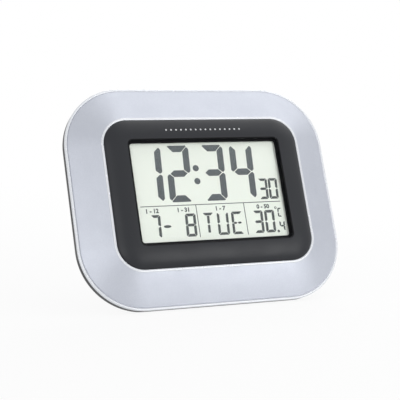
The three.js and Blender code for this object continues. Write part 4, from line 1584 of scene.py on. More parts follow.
    def words(self) -> Piece:
        """Plain ranges of numbers over the fields of the lower row.

        Returns:
            The piece.
        """
        pieces = []
        for text, x in self.legends:
            curve = bpy.data.curves.new("legend", "FONT")
            curve.body = text
            curve.size = self.legend_size
            curve.align_x = "CENTER"
            curve.extrude = (self.high - self.low) / 2
            curve.offset = self.legend_weight
            curve.resolution_u = 3
            piece = baked(linked("legend", curve))
            piece.data.transform(Matrix.Translation((x, self.legend_y, (self.low + self.high) / 2)))
            pieces.append(piece)
        return joined("display_legends", pieces)


@dataclass(frozen=True)
class RearCase(Assembly):
    """The black tray behind: tapered edges, stand recess, battery bay and vents."""

    wall: float = 2.0
    floor: float = 0.7
    back_inset: float = 12.3
    back_corner: float = 38.0
    back_round: float = 0.8
    taper_z: float = 6.0
    taper: Points = ((0.02, 0.06), (0.08, 0.46), (0.5, 3.0), (0.93, 5.56), (0.985, 6.0))
    front_round: float = 0.25
    tower: Place = (4.5, 3.1, 1.7)
    tower_floor: float = 5.0
    recess_half: float = 30.3
    recess_z: float = 3.6
    recess_foot: Point = (-83.6, -77.0)
    hinge_pocket: Place = (-9.3, 0.61, 7.02)
    pin_hole: Point = (1.55, 33.6)
    keyhole: tuple[float, ...] = (58.0, 4.6, 2.3, 9.0)
    keyhole_depth: float = 3.0
    tab_slots: Point = (-18.0, 18.0)
    vent: Place = (1.6, 12.0, 6.0)
    vent_first: float = 58.8
    vent_pitch: float = 3.6
    vent_count: int = 5
    vent_y: float = -24.0
    flare: float = 0.35
    cradle_rows: Point = (-22.0, 22.0)
    cradle_half: Point = (6.5, 1.5)
    post: Point = (3.0, 1.7)
    post_tops: Point = (8.7, 6.3)

    def build(self) -> None:
        """Makes the case and the posts inside it."""
        case = combined(self.tray(), self.supports(), Change.JOIN)
        case = combined(case, self.openings(), Change.CUT)
        case.name = "case_shell"
        self.bench.add(case, CASE, replaces=["rear_case"])
        self.bench.add(self.fittings(), CASE)

    def tray(self) -> Piece:
        """The bowl of the case, with its creases rounded.

        Returns:
            The piece.
        """
        body, gap, inside = self.layout.body, self.layout.case_gap, self.layout.case_gap + self.wall
        front = self.layout.split_z - gap
        crease = body.grown(-self.back_inset, 0.0, self.back_corner)
        edge = body.grown(-gap, self.taper_z)
        levels = [
            body.grown(-self.back_inset - self.back_round, 0.0, self.back_corner - self.back_round),
            *(crease.towards(edge, share, z) for share, z in self.taper),
            body.grown(-gap, self.taper_z + 0.5),
            body.grown(-gap, front - self.front_round),
            body.grown(-gap - self.front_round, front),
            body.grown(-inside, front),
            body.grown(-inside, self.taper_z + self.wall),
            body.grown(-self.back_inset - gap, self.wall, self.back_corner - gap),
        ]
        return Shape().loft(levels, corner=28, side=3).build("case_tray")

    def supports(self) -> list[Piece]:
        """What stands up inside the case, joined to it before the cuts.

        Returns:
            The solids.
        """
        size, low = self.layout, self.floor
        x, y = (half + 2.3 for half in size.door_half)
        bay_x, bay_y = (half + 1.5 for half in size.bay_half)
        side, cheek = self.recess_half + 1.5, self.recess_half + 4.5
        start, end, top = self.hinge_pocket
        foot, foot_end = self.recess_foot
        middle, entry, _, rise = self.keyhole
        half = entry + 2.0
        boxes = (
            ((-x, size.bay_y - y, low), (x, size.bay_y + y, 5.0), 2.5),
            ((-bay_x, size.bay_y - bay_y, low + 0.1), (bay_x, size.bay_y + bay_y, 17.8), 1.0),
            ((-side, foot_end - 1.0, low), (side, size.hinge_y, self.recess_z + 1.5), 0.0),
            ((-side - 0.1, foot, 3.3), (side + 0.1, foot_end, self.recess_z + 1.6), 0.0),
            ((-cheek, start - 1.7, low + 0.1), (cheek, end + 1.5, top + 1.5), 1.0),
            ((-half, middle - half, low), (half, middle + rise + half, 7.5), 1.0),
        )
        solids = [Shape().block(*box).build("support") for box in boxes]
        radius, top = self.tower[0], size.split_z
        rounds = ((radius, low + 0.3), (radius, top - 0.4), (radius - 0.4, top))
        for place in size.corners(size.case_screw):
            solids.append(Shape().lathe(rounds, (*place, 0), steps=32).build("support"))
        return solids

    def hole(
        self, radius: float, place: Point, depth: float, steps: int = 40, further: Sequence[Point] = ()
    ) -> Piece:
        """A round hole with a flared mouth at the back, as a solid to cut with.

        Args:
            radius: Its radius.
            place: Its middle.
            depth: How deep it is.
            steps: Sides of the round.
            further: Radius and height of what follows behind it.

        Returns:
            The solid.
        """
        flared = [(radius + self.flare + 1.0, -1.0), (radius + self.flare, 0.0), (radius, self.flare)]
        flared += [(radius, depth), *further]
        return Shape().lathe(flared, (*place, 0), steps=steps).build("cut")

    def openings(self) -> list[Piece]:
        """Everything that is cut out of the case.

        Returns:
            The solids.
        """
        size, (_, head, shank) = self.layout, self.tower
        (wide, deep), middle, door = size.bay_half, size.bay_y, size.door_half[1]
        boxes = [((-wide, middle - deep, 1.5), (wide, middle + deep, size.bay_inside), 1.5)]
        low, high = middle - door - 2.6, middle - deep + 1.0
        for x in self.tab_slots:
            boxes.append(((x - 4.3, low, 2.0), (x + 4.3, high, 4.45), 0.0))
        for y in size.cell_rows:
            boxes.append(((wide - 1.0, y - 2.3, 12.45), (wide + 2.5, y + 2.3, 13.45), 0.0))
        boxes.append(((-7.0, middle, -1.0), (7.0, middle + door + 5.3, 1.1), 3.0))
        floor = self.tower_floor
        below = ((shank, floor), (shank, size.split_z + 1.0))
        radius, half = self.pin_hole
        rod = [(radius, -half), (radius, half)]
        pin = Shape().lathe(rod, (0, size.hinge_y, size.hinge_z), Axis.X, 24)
        return [
            self.table(),
            self.stand_recess(),
            self.door_recess(),
            self.vents(),
            *(Shape().block(*box).build("cut") for box in boxes),
            *(self.hole(head, place, floor, 40, below) for place in size.corners(size.case_screw)),
            *(self.hole(size.key_radius + 0.3, (size.key_x, y), 3.0) for y in size.key_rows),
            *self.keyhole_cuts(),
            pin.build("cut"),
        ]

    def table(self) -> Piece:
        """Everything below the table that the clock stands on.

        Returns:
            The solid.
        """
        reach = 300.0
        piece = Shape().block((-reach, -reach, -reach), (reach, reach, 0.0)).build("cut")
        piece.data.transform(self.bench.panel.matrix.inverted() @ Matrix.Scale(MM, 4))
        return piece

    def stand_recess(self) -> Piece:
        """The recess that the leg folds into, with the deeper pocket at its hinge.

        Returns:
            The solid.
        """
        half, flare, low = self.recess_half, self.flare, -120.0
        start, end, top = self.hinge_pocket
        rings = []
        for extra, z in ((flare + 1.0, -1.0), (flare, 0.0), (0.0, flare), (0.0, self.recess_z)):
            x, y = half + extra, end + extra
            rings.append([Vector((*point, z)) for point in ((-x, low), (x, low), (x, y), (-x, y))])
        recess = Shape().skin(rings).build("cut")
        pocket = Shape().block((-half, start, 0.5), (half, end, top)).build("pocket")
        return combined(recess, [pocket], Change.JOIN)

    def door_recess(self) -> Piece:
        """The shallow recess that the battery door lies in.

        Returns:
            The solid.
        """
        x, y = (half + 0.3 for half in self.layout.door_half)
        outline, flare = Level(2 * x, 2 * y, 1.3, self.layout.bay_y), self.flare * 0.6
        section = ((self.flare + 1.0, -1.0), (flare, 0.0), (0.0, flare), (0.0, 2.1))
        return Shape().loft([outline.grown(*pair) for pair in section], corner=5, side=1).build("cut")

    def keyhole_cuts(self) -> list[Piece]:
        """The room behind the keyhole, its entry and its slot.

        Returns:
            The solids.
        """
        (y, entry, slot, rise), depth = self.keyhole, self.keyhole_depth
        half = entry + 0.5
        return [
            Shape().block((-half, y - half, 2.0), (half, y + rise + half, 6.0)).build("cut"),
            self.hole(entry, (0, y), depth),
            Shape().block((-slot, y, -1.0), (slot, y + rise, depth)).build("cut"),
            self.hole(slot, (0, y + rise), depth, 32),
        ]

    def vents(self) -> Piece:
        """The row of vent slots behind the temperature sensor.

        Returns:
            The solid.
        """
        recipe = Recipe("vent_row")
        names = ("Slot width", "Slot length", "Depth")
        width, length, depth = recipe.sizes(dict(zip(names, self.vent, strict=True)))
        middle = recipe.sum("SUBTRACT", length, width)
        end = recipe.rod(16, recipe.sum("MULTIPLY", width, 0.5), depth)
        parts = [recipe.box(width, middle, depth)]
        for share in (0.5, -0.5):
            parts.append(recipe.shifted(end, recipe.vector(0.0, recipe.sum("MULTIPLY", middle, share))))
        rows = [self.vent_first + i * self.vent_pitch for i in range(self.vent_count)]
        places = [(x, self.vent_y, 0.0) for x in rows]
        return recipe.bake("vent_slots", recipe.repeated(recipe.united(parts)), CASE, places)

    def fittings(self) -> Piece:
        """The cradles of the aerial and the posts of the two small boards.

        Returns:
            The piece.
        """
        size, shape, (wide, thick) = self.layout, Shape(), self.cradle_half
        x, z, reach, low = size.aerial_x, size.aerial_z, size.rod_radius + 0.3, 1.5
        section = [(x - wide, low), (x + wide, low), (x + wide, z + 0.3), (x + reach, z + 0.3)]
        section += arc(x, z, reach, 0, -180, 12)[1:-1] + [(x - reach, z + 0.3), (x - wide, z + 0.3)]
        for y in self.cradle_rows:
            shape.skin([[Vector((a, end, b)) for a, b in section] for end in (y + thick, y - thick)])
        places = ((size.key_x, size.key_post_rows), (size.radio_post_x, size.radio_post_rows))
        for (x, rows), top in zip(places, self.post_tops, strict=True):
            for y in rows:
                shape.tube(self.post, (x, y), low, top)
        return shape.build("case_fittings")


@dataclass(frozen=True)
class Stand(Assembly):
    """The fold-out leg, in its own axes: the pin is the origin and the leg hangs down."""

    half_foot: float = 30.0
    half_head: float = 28.0
    head: float = 5.6
    inner: float = 0.1
    outer: float = 2.9
    splay: float = math.radians(15.0)
    head_corner: float = 3.0
    least_corner: float = 0.6
    foot_corner: float = 0.8
    edge: float = 0.45
    recess: float = 0.55
    margin: float = 5.0
    barrel: Points = (
        (1.55, -28.2), (2.7, -28.2), (3.0, -27.9), (3.0, 27.9), (2.7, 28.2), (1.55, 28.2)
    )
    rib_count: int = 5
    rib_pitch: float = 9.0
    rib: Point = (1.0, 0.5)
    rib_edge: float = 0.18

    def outline(self, inset: float, z: float, pivot_height: float) -> list[Vector]:
        """The leg's outline at a height, with rounded corners.

        Args:
            inset: How far inside the leg's side.
            z: Height in the leg's axes.
            pivot_height: Height of the pin above the table.

        Returns:
            Points around the outline.
        """
        foot = (z * math.sin(self.splay) - pivot_height) / math.cos(self.splay) + inset
        radius = max(self.head_corner - inset, self.least_corner)
        low = (self.half_foot - inset - self.foot_corner, foot + self.foot_corner, self.foot_corner)
        high = (self.half_head - inset - radius, self.head - inset - radius, radius)
        points: list[Point] = []
        for turn, (side, (x, y, corner)) in enumerate(((1, low), (1, high), (-1, high), (-1, low))):
            points += arc(side * x, y, corner, 90 * turn - 90, 90 * turn, 6)
        return [Vector((*point, z)) for point in points]

    def build(self) -> None:
        """Makes the leg, its ribs and its barrel, opened out, and dresses the pin."""
        pivot = Vector((0, self.layout.hinge_y, self.layout.hinge_z))
        height = (self.bench.panel.matrix @ pivot).z / MM
        inner, outer, edge = self.inner, self.outer, self.edge
        part, well = edge * 0.3, self.margin + 0.3
        section = [
            (well, -outer + self.recess),
            (self.margin, -outer),
            (edge, -outer),
            (part, -outer + part),
            (0.0, -outer + edge),
            (0.0, -inner - edge),
            (part, -inner - part),
            (edge, -inner),
            (self.margin, -inner),
            (well, -inner - self.recess),
        ]
        shape = Shape().skin([self.outline(inset, z, height) for inset, z in section])
        shape.lathe(self.barrel, ZERO, Axis.X, 32, looped=True)
        leg = joined("leg", [shape.build("leg_plate", 28.0), self.ribs(height)])
        angle = self.bench.panel.lean() + self.splay
        leg.data.transform(Matrix.Translation(pivot) @ Matrix.Rotation(angle, 4, "X"))
        self.bench.add(leg, LEG, "stand", ["stand_leg"])
        self.bench.dress(STEEL, "stand_pin")

    def ribs(self, height: float) -> Piece:
        """Low ribs along the leg's outer face, in the recess.

        Args:
            height: Height of the pin above the table.

        Returns:
            The piece.
        """
        recipe, (width, tall) = Recipe("leg_ribs"), self.rib
        sizes = {"Count": self.rib_count, "Pitch": self.rib_pitch, "Length": height - 18.0}
        count, pitch, length, across, up = recipe.sizes(sizes | {"Width": width, "Height": tall})
        bars = recipe.row(recipe.box(across, length, up), count, pitch)
        placed = recipe.shifted(bars, (0.0, -height / 2 - 1.0, -self.outer + self.recess - 0.15))
        return softened(recipe.bake("ribs", placed, LEG), self.rib_edge)


@dataclass(frozen=True)
class BatteryDoor(Assembly):
    """The door of the battery bay, with tabs below and a ribbed grip above."""

    back: float = 0.2
    front: float = 1.8
    edge: float = 0.3
    corner: float = 1.0
    tab_x: float = 18.0
    tab_half: float = 4.0
    tab: Place = (2.3, 2.4, 3.4)
    arrow: Points = ((-3.0, -13.5), (0.0, -16.0), (3.0, -13.5))
    ridge_count: int = 6
    ridge_pitch: float = 1.6
    ridge: Point = (13.0, 0.45)

    def build(self) -> None:
        """Makes the door on its own body."""
        (x, y), middle = self.layout.door_half, self.layout.bay_y
        back, front, edge, (reach, tab_back, tab_front) = self.back, self.front, self.edge, self.tab
        plate = Level(2 * x, 2 * y, self.corner, middle)
        section = ((edge, back), (0.08, back + 0.1), (0.0, back + edge), (0.0, front))
        levels = [plate.grown(-inset, z, self.corner) for inset, z in section]
        shape = Shape().loft(levels, corner=5, side=1)
        low, top = middle - y, middle + y
        for side in SIDES:
            left, right = side * self.tab_x - self.tab_half, side * self.tab_x + self.tab_half
            shape.block((left, low - reach, tab_back), (right, low + 1.0, tab_front), 0.4)
            shape.block((left, low, front - 0.2), (right, low + 1.0, tab_front))
        shape.prism([(x, top + y) for x, y in self.arrow], 0.05, back + 0.3)
        door = joined("door", [shape.build("door_plate"), self.ridges(top)])
        self.bench.add(door, DOOR, "battery_door", ["battery_door"])

    def ridges(self, top: float) -> Piece:
        """The grip: short rounded ridges across the door's upper edge.

        Args:
            top: Where the upper edge is.

        Returns:
            The piece.
        """
        recipe = Recipe("door_ridges")
        length, radius = recipe.sizes(dict(zip(("Length", "Radius"), self.ridge, strict=True)))
        lying = recipe.shifted(recipe.rod(14, radius, length), ZERO, (0.0, RIGHT_ANGLE, 0.0))
        rows = [top - 2.2 - self.ridge_pitch * i for i in range(self.ridge_count)]
        places = [(0.0, y, self.back + 0.28) for y in rows]
        return recipe.bake("ridges", recipe.repeated(lying), DOOR, places)


@dataclass(frozen=True)
class BatteryPack(Assembly):
    """Two round cells, their sprung contacts and the strips to the board."""

    cell_length: float = 49.2
    nub: Point = (2.6, 1.3)
    band: float = 13.0
    end: float = 28.05
    plate: float = 0.4
    plate_x: float = 28.35
    plate_half: float = 4.4
    spring: Point = (4.2, 2.4)
    spring_length: float = 5.3
    wire: float = 0.3
    turns: float = 5.0

    def cell(self, side: int, y: float) -> Shape:
        """A cell lying along x.

        Args:
            side: 1 if its raised end is on the right, or -1.
            y: Its middle.

        Returns:
            The shape, tinted sleeve, band and metal.
        """
        radius, (nub, nub_length), tip = self.layout.cell_radius, self.nub, self.end
        shoulder = tip - nub_length
        base, seam = shoulder - self.cell_length, shoulder - self.band
        sleeve = [(radius - 0.6, base), (radius - 0.15, base + 0.2), (radius, base + 0.7)]
        sleeve += [(radius, seam)]
        band = [(radius, seam), (radius, shoulder - 0.8), (radius - 0.3, shoulder - 0.2)]
        band += [(radius - 0.9, shoulder)]
        button = [band[-1], (nub + 0.6, shoulder - 0.05), (nub + 0.1, shoulder + 0.2)]
        button += [(nub, tip - 0.3), (nub - 0.4, tip), (TINY, tip)]
        foot = [(TINY, base + 0.2), (4.6, base + 0.2), (5.0, base), sleeve[0]]
        shape = Shape()
        for tint, profile in ((2, foot), (0, sleeve), (1, band), (2, button)):
            shape.tint = tint
            axis = Axis.X if side > 0 else Axis.MINUS_X
            shape.lathe(profile, (0, y, self.layout.cell_z), axis, 40, caps=False)
        return shape

    def coil(self, side: int, y: float) -> Piece:
        """A conical contact spring that narrows towards its cell.

        Args:
            side: 1 for the right end of the bay, or -1.
            y: Its middle.

        Returns:
            The piece.
        """
        recipe = Recipe("contact_spring")
        wire = recipe.coil(self.turns, self.spring, self.spring_length, self.wire, (24, 8))
        place = (side * self.plate_x, y, self.layout.cell_z)
        return recipe.bake("coil", recipe.shifted(wire, place, (0.0, -side * RIGHT_ANGLE, 0.0)), NICKEL)

    def contact(self, side: int, low: float, high: float) -> Shape:
        """The plate of a contact beside an end wall of the bay, between two edges."""
        z, left = self.layout.cell_z, min(side * self.plate_x, side * (self.plate_x + self.plate))
        return Shape().block((left, low, z - 3.55), (left + self.plate, high, z + 5.68))

    def build(self) -> None:
        """Makes the cells and the sprung contacts, and dresses the flat one."""
        (upper, lower), half = self.layout.cell_rows, self.plate_half
        coats = [CELL_DARK, CELL_BAND, NICKEL]
        for name, side, y in (("upper", 1, upper), ("lower", -1, lower)):
            cell = self.cell(side, y).build("cell_" + name)
            self.bench.add(cell, coats, replaces=["battery_" + name])
        bridge = self.contact(-1, lower - half, upper + half)
        negative = self.contact(1, lower - half, lower + half)
        negative.block((self.plate_x, lower - 2, 12.75), (31.25, lower + 2, 13.15))
        negative.block((30.85, 3.3, 12.75), (31.25, lower + 2, 16.9))
        for name, plate, side, y in (("bridge", bridge, -1, upper), ("negative", negative, 1, lower)):
            spring = joined(name + "_spring", [plate.build(name + "_plate"), self.coil(side, y)])
            self.bench.add(spring, NICKEL, replaces=["contact_" + name])
        self.bench.dress(NICKEL, "contact_positive")


class KeySign(Enum):
    """The plain printed sign on a rear key, with the body that it rides on."""

    RING = "button_set"
    PLUS = "button_plus"
    MINUS = "button_minus"
    DOT = "button_signal"


@dataclass(frozen=True)
class Keys(Assembly):
    """The four rubber keys at the back, each on its own body."""

    face: float = 0.4
    relief: float = 0.05
    depth: float = 0.2
    arm: float = 1.25
    half_stroke: float = 0.24
    dome: Points = ((TINY, 0.0), (1.2, 0.02), (2.1, 0.1), (2.7, 0.26), (3.0, 0.5))
    side: Points = ((-0.05, 0.85), (0.0, 1.2), (0.0, 1.9))
    flange: Points = ((4.2, 1.9), (4.2, 2.9), (1.6, 2.9), (1.6, 4.7), (TINY, 4.7))

    def key(self, sign: KeySign, y: float) -> Piece:
        """A domed key.

        Args:
            sign: The sign that names it.
            y: Its middle.

        Returns:
            The piece.
        """
        side = tuple((self.layout.key_radius + extra, z) for extra, z in self.side)
        shape = Shape().lathe(
            self.dome + side + self.flange, (self.layout.key_x, y, self.face), steps=40
        )
        return shape.build(sign.value + "_cap", 40.0)

    def printed(self, sign: KeySign, y: float) -> Piece:
        """The sign on a key.

        Args:
            sign: Which sign.
            y: Its middle.

        Returns:
            The piece.
        """
        x, low, high = self.layout.key_x, self.face - self.relief, self.face + self.depth
        arm, half, shape = self.arm, self.half_stroke, Shape()
        if sign is KeySign.MINUS:
            shape.block((x - arm, y - half, low), (x + arm, y + half, high))
        if sign is KeySign.PLUS:
            corner = ((arm, -half), (arm, half), (half, half))
            turns = ((1, 0), (0, 1), (-1, 0), (0, -1))
            outline = [(x + c * a - d * b, y + d * a + c * b) for c, d in turns for a, b in corner]
            shape.prism(outline, low, high)
        if sign is KeySign.RING:
            inner = arm - 2 * half
            ring = [(inner, high), (inner, low), (arm, low), (arm, high)]
            shape.lathe(ring, (x, y, 0), steps=32, looped=True)
        if sign is KeySign.DOT:
            disc = [(TINY, low), (2 * half, low), (2 * half, high), (TINY, high)]
            shape.lathe(disc, (x, y, 0), steps=28)
        return shape.build(sign.value + "_sign")

    def build(self) -> None:
        """Makes the keys and dresses their switches."""
        for sign, y in zip(KeySign, self.layout.key_rows, strict=True):
            self.bench.add(self.key(sign, y), KEY, sign.value, [sign.value])
            self.bench.add(self.printed(sign, y), MARK, sign.value)
        self.bench.dress(RESIN, *(sign.value.replace("button", "key_switch") for sign in KeySign))


@dataclass(frozen=True)
class Aerial(Assembly):
    """The radio aerial: a ferrite rod with a winding of enamelled wire."""

    rod_half: float = 30.0
    edge: float = 0.3
    paper: Point = (0.3, 0.9)
    paper_over: float = 2.0
    coil_half: float = 10.0
    wire: float = 0.26
    turns: float = 34.0

    def build(self) -> None:
        """Makes the rod, the paper under the winding and the winding."""
        size, half, edge = self.layout, self.rod_half, self.edge
        x, z, radius = size.aerial_x, size.aerial_z, size.rod_radius
        rod = [(radius - edge, -half), (radius, edge - half)]
        rod += [(radius, half - edge), (radius - edge, half)]
        piece = Shape().lathe(rod, (x, 0, z), Axis.Y, 40).build("aerial_rod")
        self.bench.add(piece, FERRITE, replaces=["ferrite_rod"])
        inner, outer = (radius + extra for extra in self.paper)
        end, start = self.coil_half + self.paper_over, self.coil_half - self.wire
        paper = [(inner, -end), (outer, -end), (outer, end), (inner, end)]
        piece = Shape().lathe(paper, (x, 0, z), Axis.Y, 40, looped=True).build("aerial_paper")
        self.bench.add(piece, TAPE)
        recipe, around = Recipe("winding"), outer + self.wire
        wire = recipe.coil(self.turns, (around, around), 2 * start, self.wire, (20, 6))
        turned = recipe.shifted(wire, (x, start, z), (RIGHT_ANGLE, 0.0, 0.0))
        self.bench.add(recipe.bake("aerial_winding", turned, COPPER), COPPER, replaces=["antenna_coil"])


@dataclass(frozen=True)
class SmallPart:
    """A round part on a board: its finish, its profile and where it sits."""

    name: str
    solid: str
    finish: Finish
    profile: Points
    place: Place
    steps: int
    axis: Axis = Axis.Z


@dataclass(frozen=True)
class Electronics(Assembly):
    """The boards and the small parts on them."""

    drop: Points = (
        (TINY, -2.2), (3.0, -2.12), (5.4, -1.7), (7.0, -0.95), (7.8, -0.25), (8.0, 0.0)
    )
    low_drop: Points = ((4.0, 0.0), (3.9, 0.3), (3.4, 1.1), (2.4, 1.8), (1.2, 2.15), (TINY, 2.2))
    sleeve: Points = (
        (TINY, -5.3), (1.9, -5.3), (2.0, -5.5), (2.3, -5.4), (2.5, -5.1), (2.5, -1.1),
        (2.25, -0.8), (2.5, -0.5), (2.5, 0.0),
    )
    bead: Points = (
        (TINY, -6.0), (0.7, -5.85), (1.15, -5.3), (1.3, -4.5), (1.2, -3.6), (0.6, -2.9),
        (0.3, -2.6), (0.3, 0.0),
    )
    can: Points = ((1.2, -3.0), (1.5, -2.7), (1.5, 2.4), (1.62, 2.5), (1.62, 3.0))
    main_face: float = 15.0
    radio_face: float = 8.1
    parts: tuple[SmallPart, ...] = (
        SmallPart("driver_drop", "driver_chip", RESIN, drop, (-48, -22, main_face), 40),
        SmallPart("receiver_drop", "receiver_chip", RESIN, low_drop, (-71, -1, radio_face), 36),
        SmallPart("capacitor_can", "capacitor", SLEEVE, sleeve, (46, -32, main_face), 32),
        SmallPart("sensor_bead", "thermistor", RESIN, bead, (66, -24, main_face), 24),
        SmallPart("crystal_can", "clock_crystal", NICKEL, can, (46, -16, main_face - 1.62), 28, Axis.Y),
        SmallPart(
            "receiver_can", "receiver_crystal", NICKEL, can, (-71, 6.5, radio_face + 1.52), 28, Axis.X
        ),
    )

    def build(self) -> None:
        """Makes the rounded small parts and dresses the rest."""
        for part in self.parts:
            shape = Shape().lathe(part.profile, part.place, part.axis, part.steps)
            self.bench.add(shape.build(part.name), part.finish, replaces=[part.solid])
        self.bench.dress(BOARD, "main_board", "radio_board", "key_board")
        self.bench.dress(RIBBON, "radio_ribbon", "key_ribbon")


@dataclass(frozen=True)
class Fasteners(Assembly):
    """The self-tapping screws, all with the same cross-recessed head."""

    head: Point = (2.8, 2.0)
    head_round: float = 0.72
    shank: float = 1.4
    recess: Place = (3.4, 0.75, 1.2)

    def screws(self, name: str, length: float, places: Sequence[Place], turn: float) -> Piece:
        """Equal screws at several places.

        Args:
            name: Name of the piece.
            length: Length under the head.
            places: Where the undersides of the heads are.
            turn: Their turn about x, a half one for screws that point to the back.

        Returns:
            The piece.
        """
        recipe = Recipe(name + "_recipe")
        names = ("Head radius", "Head height", "Shank radius", "Length")
        names += ("Recess length", "Recess width", "Recess depth")
        values = zip(names, (*self.head, self.shank, length, *self.recess), strict=True)
        head, height, shank, reach, long, wide, deep = recipe.sizes(dict(values))

        def up(value: Socket, share: float) -> Socket:
            """A move along z by a share of a value."""
            return recipe.vector(0.0, 0.0, recipe.sum("MULTIPLY", value, share))

        half = recipe.sum("MULTIPLY", height, 0.5)
        inputs = {"Vertices": 36, "Radius Top": head, "Depth": half}
        inputs |= {"Radius Bottom": recipe.sum("MULTIPLY", head, self.head_round)}
        cap = recipe.shifted(recipe.out("GeometryNodeMeshCone", inputs), up(height, -1.0))
        rim = recipe.shifted(recipe.rod(36, head, half), up(height, -0.25))
        both = recipe.sum("MULTIPLY", deep, 2.0)
        bars = (recipe.box(long, wide, both), recipe.box(wide, long, both))
        cross = [recipe.shifted(bar, up(height, -1.0)) for bar in bars]
        inputs = {"Mesh 1": recipe.united([cap, rim]), "Mesh 2": cross}
        top = recipe.out("GeometryNodeMeshBoolean", inputs, operation="DIFFERENCE")
        body = recipe.shifted(recipe.rod(20, shank, reach), up(reach, 0.5))
        whole = recipe.out("GeometryNodeJoinGeometry", {0: [top, body]})
        return recipe.bake(name, recipe.repeated(whole, (turn, 0.0, 0.0)), STEEL, places)

    def build(self) -> None:
        """Makes every group of screws."""
        size, over = self.layout, 2 * RIGHT_ANGLE
        first, *others = size.ear_rows
        key_posts = [(size.key_x, y) for y in size.key_post_rows]
        radio_posts = [(size.radio_post_x, y) for y in size.radio_post_rows]
        groups = (
            ("case_screw", 11.0, size.corners(size.case_screw), 4.7, 0.0),
            ("bezel_screw", 6.5, size.corners(size.bezel_screw, size.seam.centre_y), 17.2, 0.0),
            ("holder_screw", 5.4, size.ears([first]), 16.9, 0.0),
            ("board_screw", 7.0, size.ears(others), 15.0, 0.0),
            ("key_board_screw", 3.6, key_posts, 10.9, over),
            ("radio_board_screw", 3.6, radio_posts, 8.1, over),
        )
        for stem, length, places, z, turn in groups:
            piece = self.screws(stem + "s", length, [(*place, z) for place in places], turn)
            solids = [f"{stem}_{number}" for number in range(1, len(places) + 1)]
            self.bench.add(piece, STEEL, replaces=solids)


# Surroundings


@dataclass(frozen=True)
class Lamp:
    """A soft box: the way to it from the clock, its distance, size and light."""

    name: str
    way: Place
    distance: float
    size: float
    watts: float

    def build(self, aim: Vector) -> None:
        """Puts up the lamp.

        Args:
            aim: The point that it faces.
        """
        light = bpy.data.lights.new(self.name, "AREA")
        light.shape = "SQUARE"
        light.size = self.size
        light.energy = self.watts
        back = Vector(self.way).normalized()
        axes = back.to_track_quat("Z", "Y").to_matrix().to_4x4()
        linked(self.name, light).matrix_world = Matrix.Translation(aim + back * self.distance) @ axes


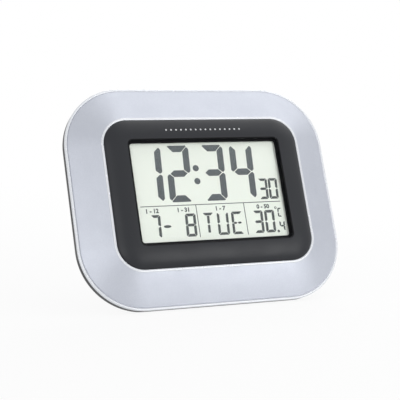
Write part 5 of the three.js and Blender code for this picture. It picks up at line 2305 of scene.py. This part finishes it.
@dataclass(frozen=True)
class Studio:
    """A pale floor, soft lamps, white surroundings and the camera."""

    aim: Place = (0.0, -0.004, 0.086)
    turn: float = math.radians(-23.65)
    rise: float = math.radians(5.3)
    distance: float = 0.921
    slide: Point = (-0.0048, -0.0047)
    sensor: float = 36.0
    focal_share: float = 2.875
    floor_radius: float = 2.0
    ambient: float = 0.47
    lamps: tuple[Lamp, ...] = (
        Lamp("overhead", (0.47, 0.02, 0.88), 0.9, 0.95, 2.35),
        Lamp("front_right", (0.45, -0.9, 0.12), 1.1, 0.6, 2.85),
        Lamp("front_left", (-0.6, -0.8, 0.3), 1.2, 0.7, 1.9),
        Lamp("behind", (0.55, 0.8, 0.6), 1.3, 0.9, 5.5),
    )

    def camera(self) -> None:
        """Sets up the camera where the clock is seen as photographed."""
        right = Vector((math.cos(self.turn), math.sin(self.turn), 0))
        level = Vector((right.y, -right.x, 0))
        back = level * math.cos(self.rise) + Vector((0, 0, math.sin(self.rise)))
        up = back.cross(right)
        eye = Vector(self.aim) + back * self.distance + right * self.slide[0] + up * self.slide[1]
        data = bpy.data.cameras.new("camera")
        data.sensor_width = self.sensor
        data.lens = self.focal_share * self.sensor
        data.clip_start = 0.01
        camera = linked("camera", data)
        camera.matrix_world = Matrix.Translation(eye) @ Matrix((right, up, back)).transposed().to_4x4()
        bpy.context.scene.camera = camera

    def surroundings(self) -> None:
        """White where it is seen, and plain light on the clock."""
        world = bpy.data.worlds.new("surroundings")
        bpy.context.scene.world = world
        world.use_nodes = True
        tree = Tree(world.node_tree)
        plain, white = (
            tree.out("ShaderNodeBackground", {"Color": WHITE, "Strength": strength})
            for strength in (self.ambient, 1.0)
        )
        tree.add("ShaderNodeOutputWorld", {"Surface": tree.mixed(tree.seen(), plain, white)})

    def floor(self) -> None:
        """A round pale floor that keeps the clock's shadow and fades to white."""
        low, inner, radius = -0.01, 0.02, self.floor_radius
        profile = [(inner, low), (radius, low), (radius, 0.0), (inner, 0.0)]
        piece = Shape().lathe(profile, ZERO, steps=64).build("floor")
        graph = Graph("floor_paper")
        fibre = graph.spread(graph.noise(600.0, 4.0), 0.0, 1.0)
        colour = graph.blend(fibre, 0xFBFBFB, 0xF6F6F6)
        paper = graph.main({"Base Color": colour, "Roughness": 0.9, "Specular IOR Level": 0.0})
        white = graph.out("ShaderNodeEmission", {"Color": WHITE, "Strength": 1.0})
        far = graph.out("ShaderNodeVectorMath", {0: graph.place}, "Value", operation="LENGTH")
        share = graph.sum("MULTIPLY", graph.spread(far, 0.9, 1.0, 0.3, 1.2), graph.seen())
        graph.show(graph.mixed(share, paper, white))
        piece.data.materials.append(graph.material)
        piece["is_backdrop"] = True

    def build(self) -> None:
        """Sets up everything around the clock."""
        self.camera()
        self.surroundings()
        self.floor()
        for lamp in self.lamps:
            lamp.build(Vector(self.aim))
        bpy.context.scene.view_settings.view_transform = "Standard"


def plain(bounds: object) -> object:
    """Bounds as plain lists of numbers.

    Args:
        bounds: A number, or numbers in groups.

    Returns:
        The same as a number or as lists.
    """
    if isinstance(bounds, (int, float)):
        return float(bounds)
    return [plain(part) for part in bounds]


def main() -> None:
    """Builds the clock and its surroundings in order."""
    logging.basicConfig(level=logging.INFO, format="%(name)s: %(message)s")
    solid_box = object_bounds()
    layout = Layout()
    bench = Bench(Panel.from_joints(frame["joints"], layout))
    inside = (RearCase, Stand, BatteryDoor, BatteryPack, Keys, Aerial, Electronics, Fasteners)
    for group in (FrontFrame, InnerBezel, Display, *inside):
        group(layout, bench).build()
    Studio().build()
    {"cad": plain(solid_box), "visual": plain(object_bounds())}


if __name__ == "__main__":
    main()
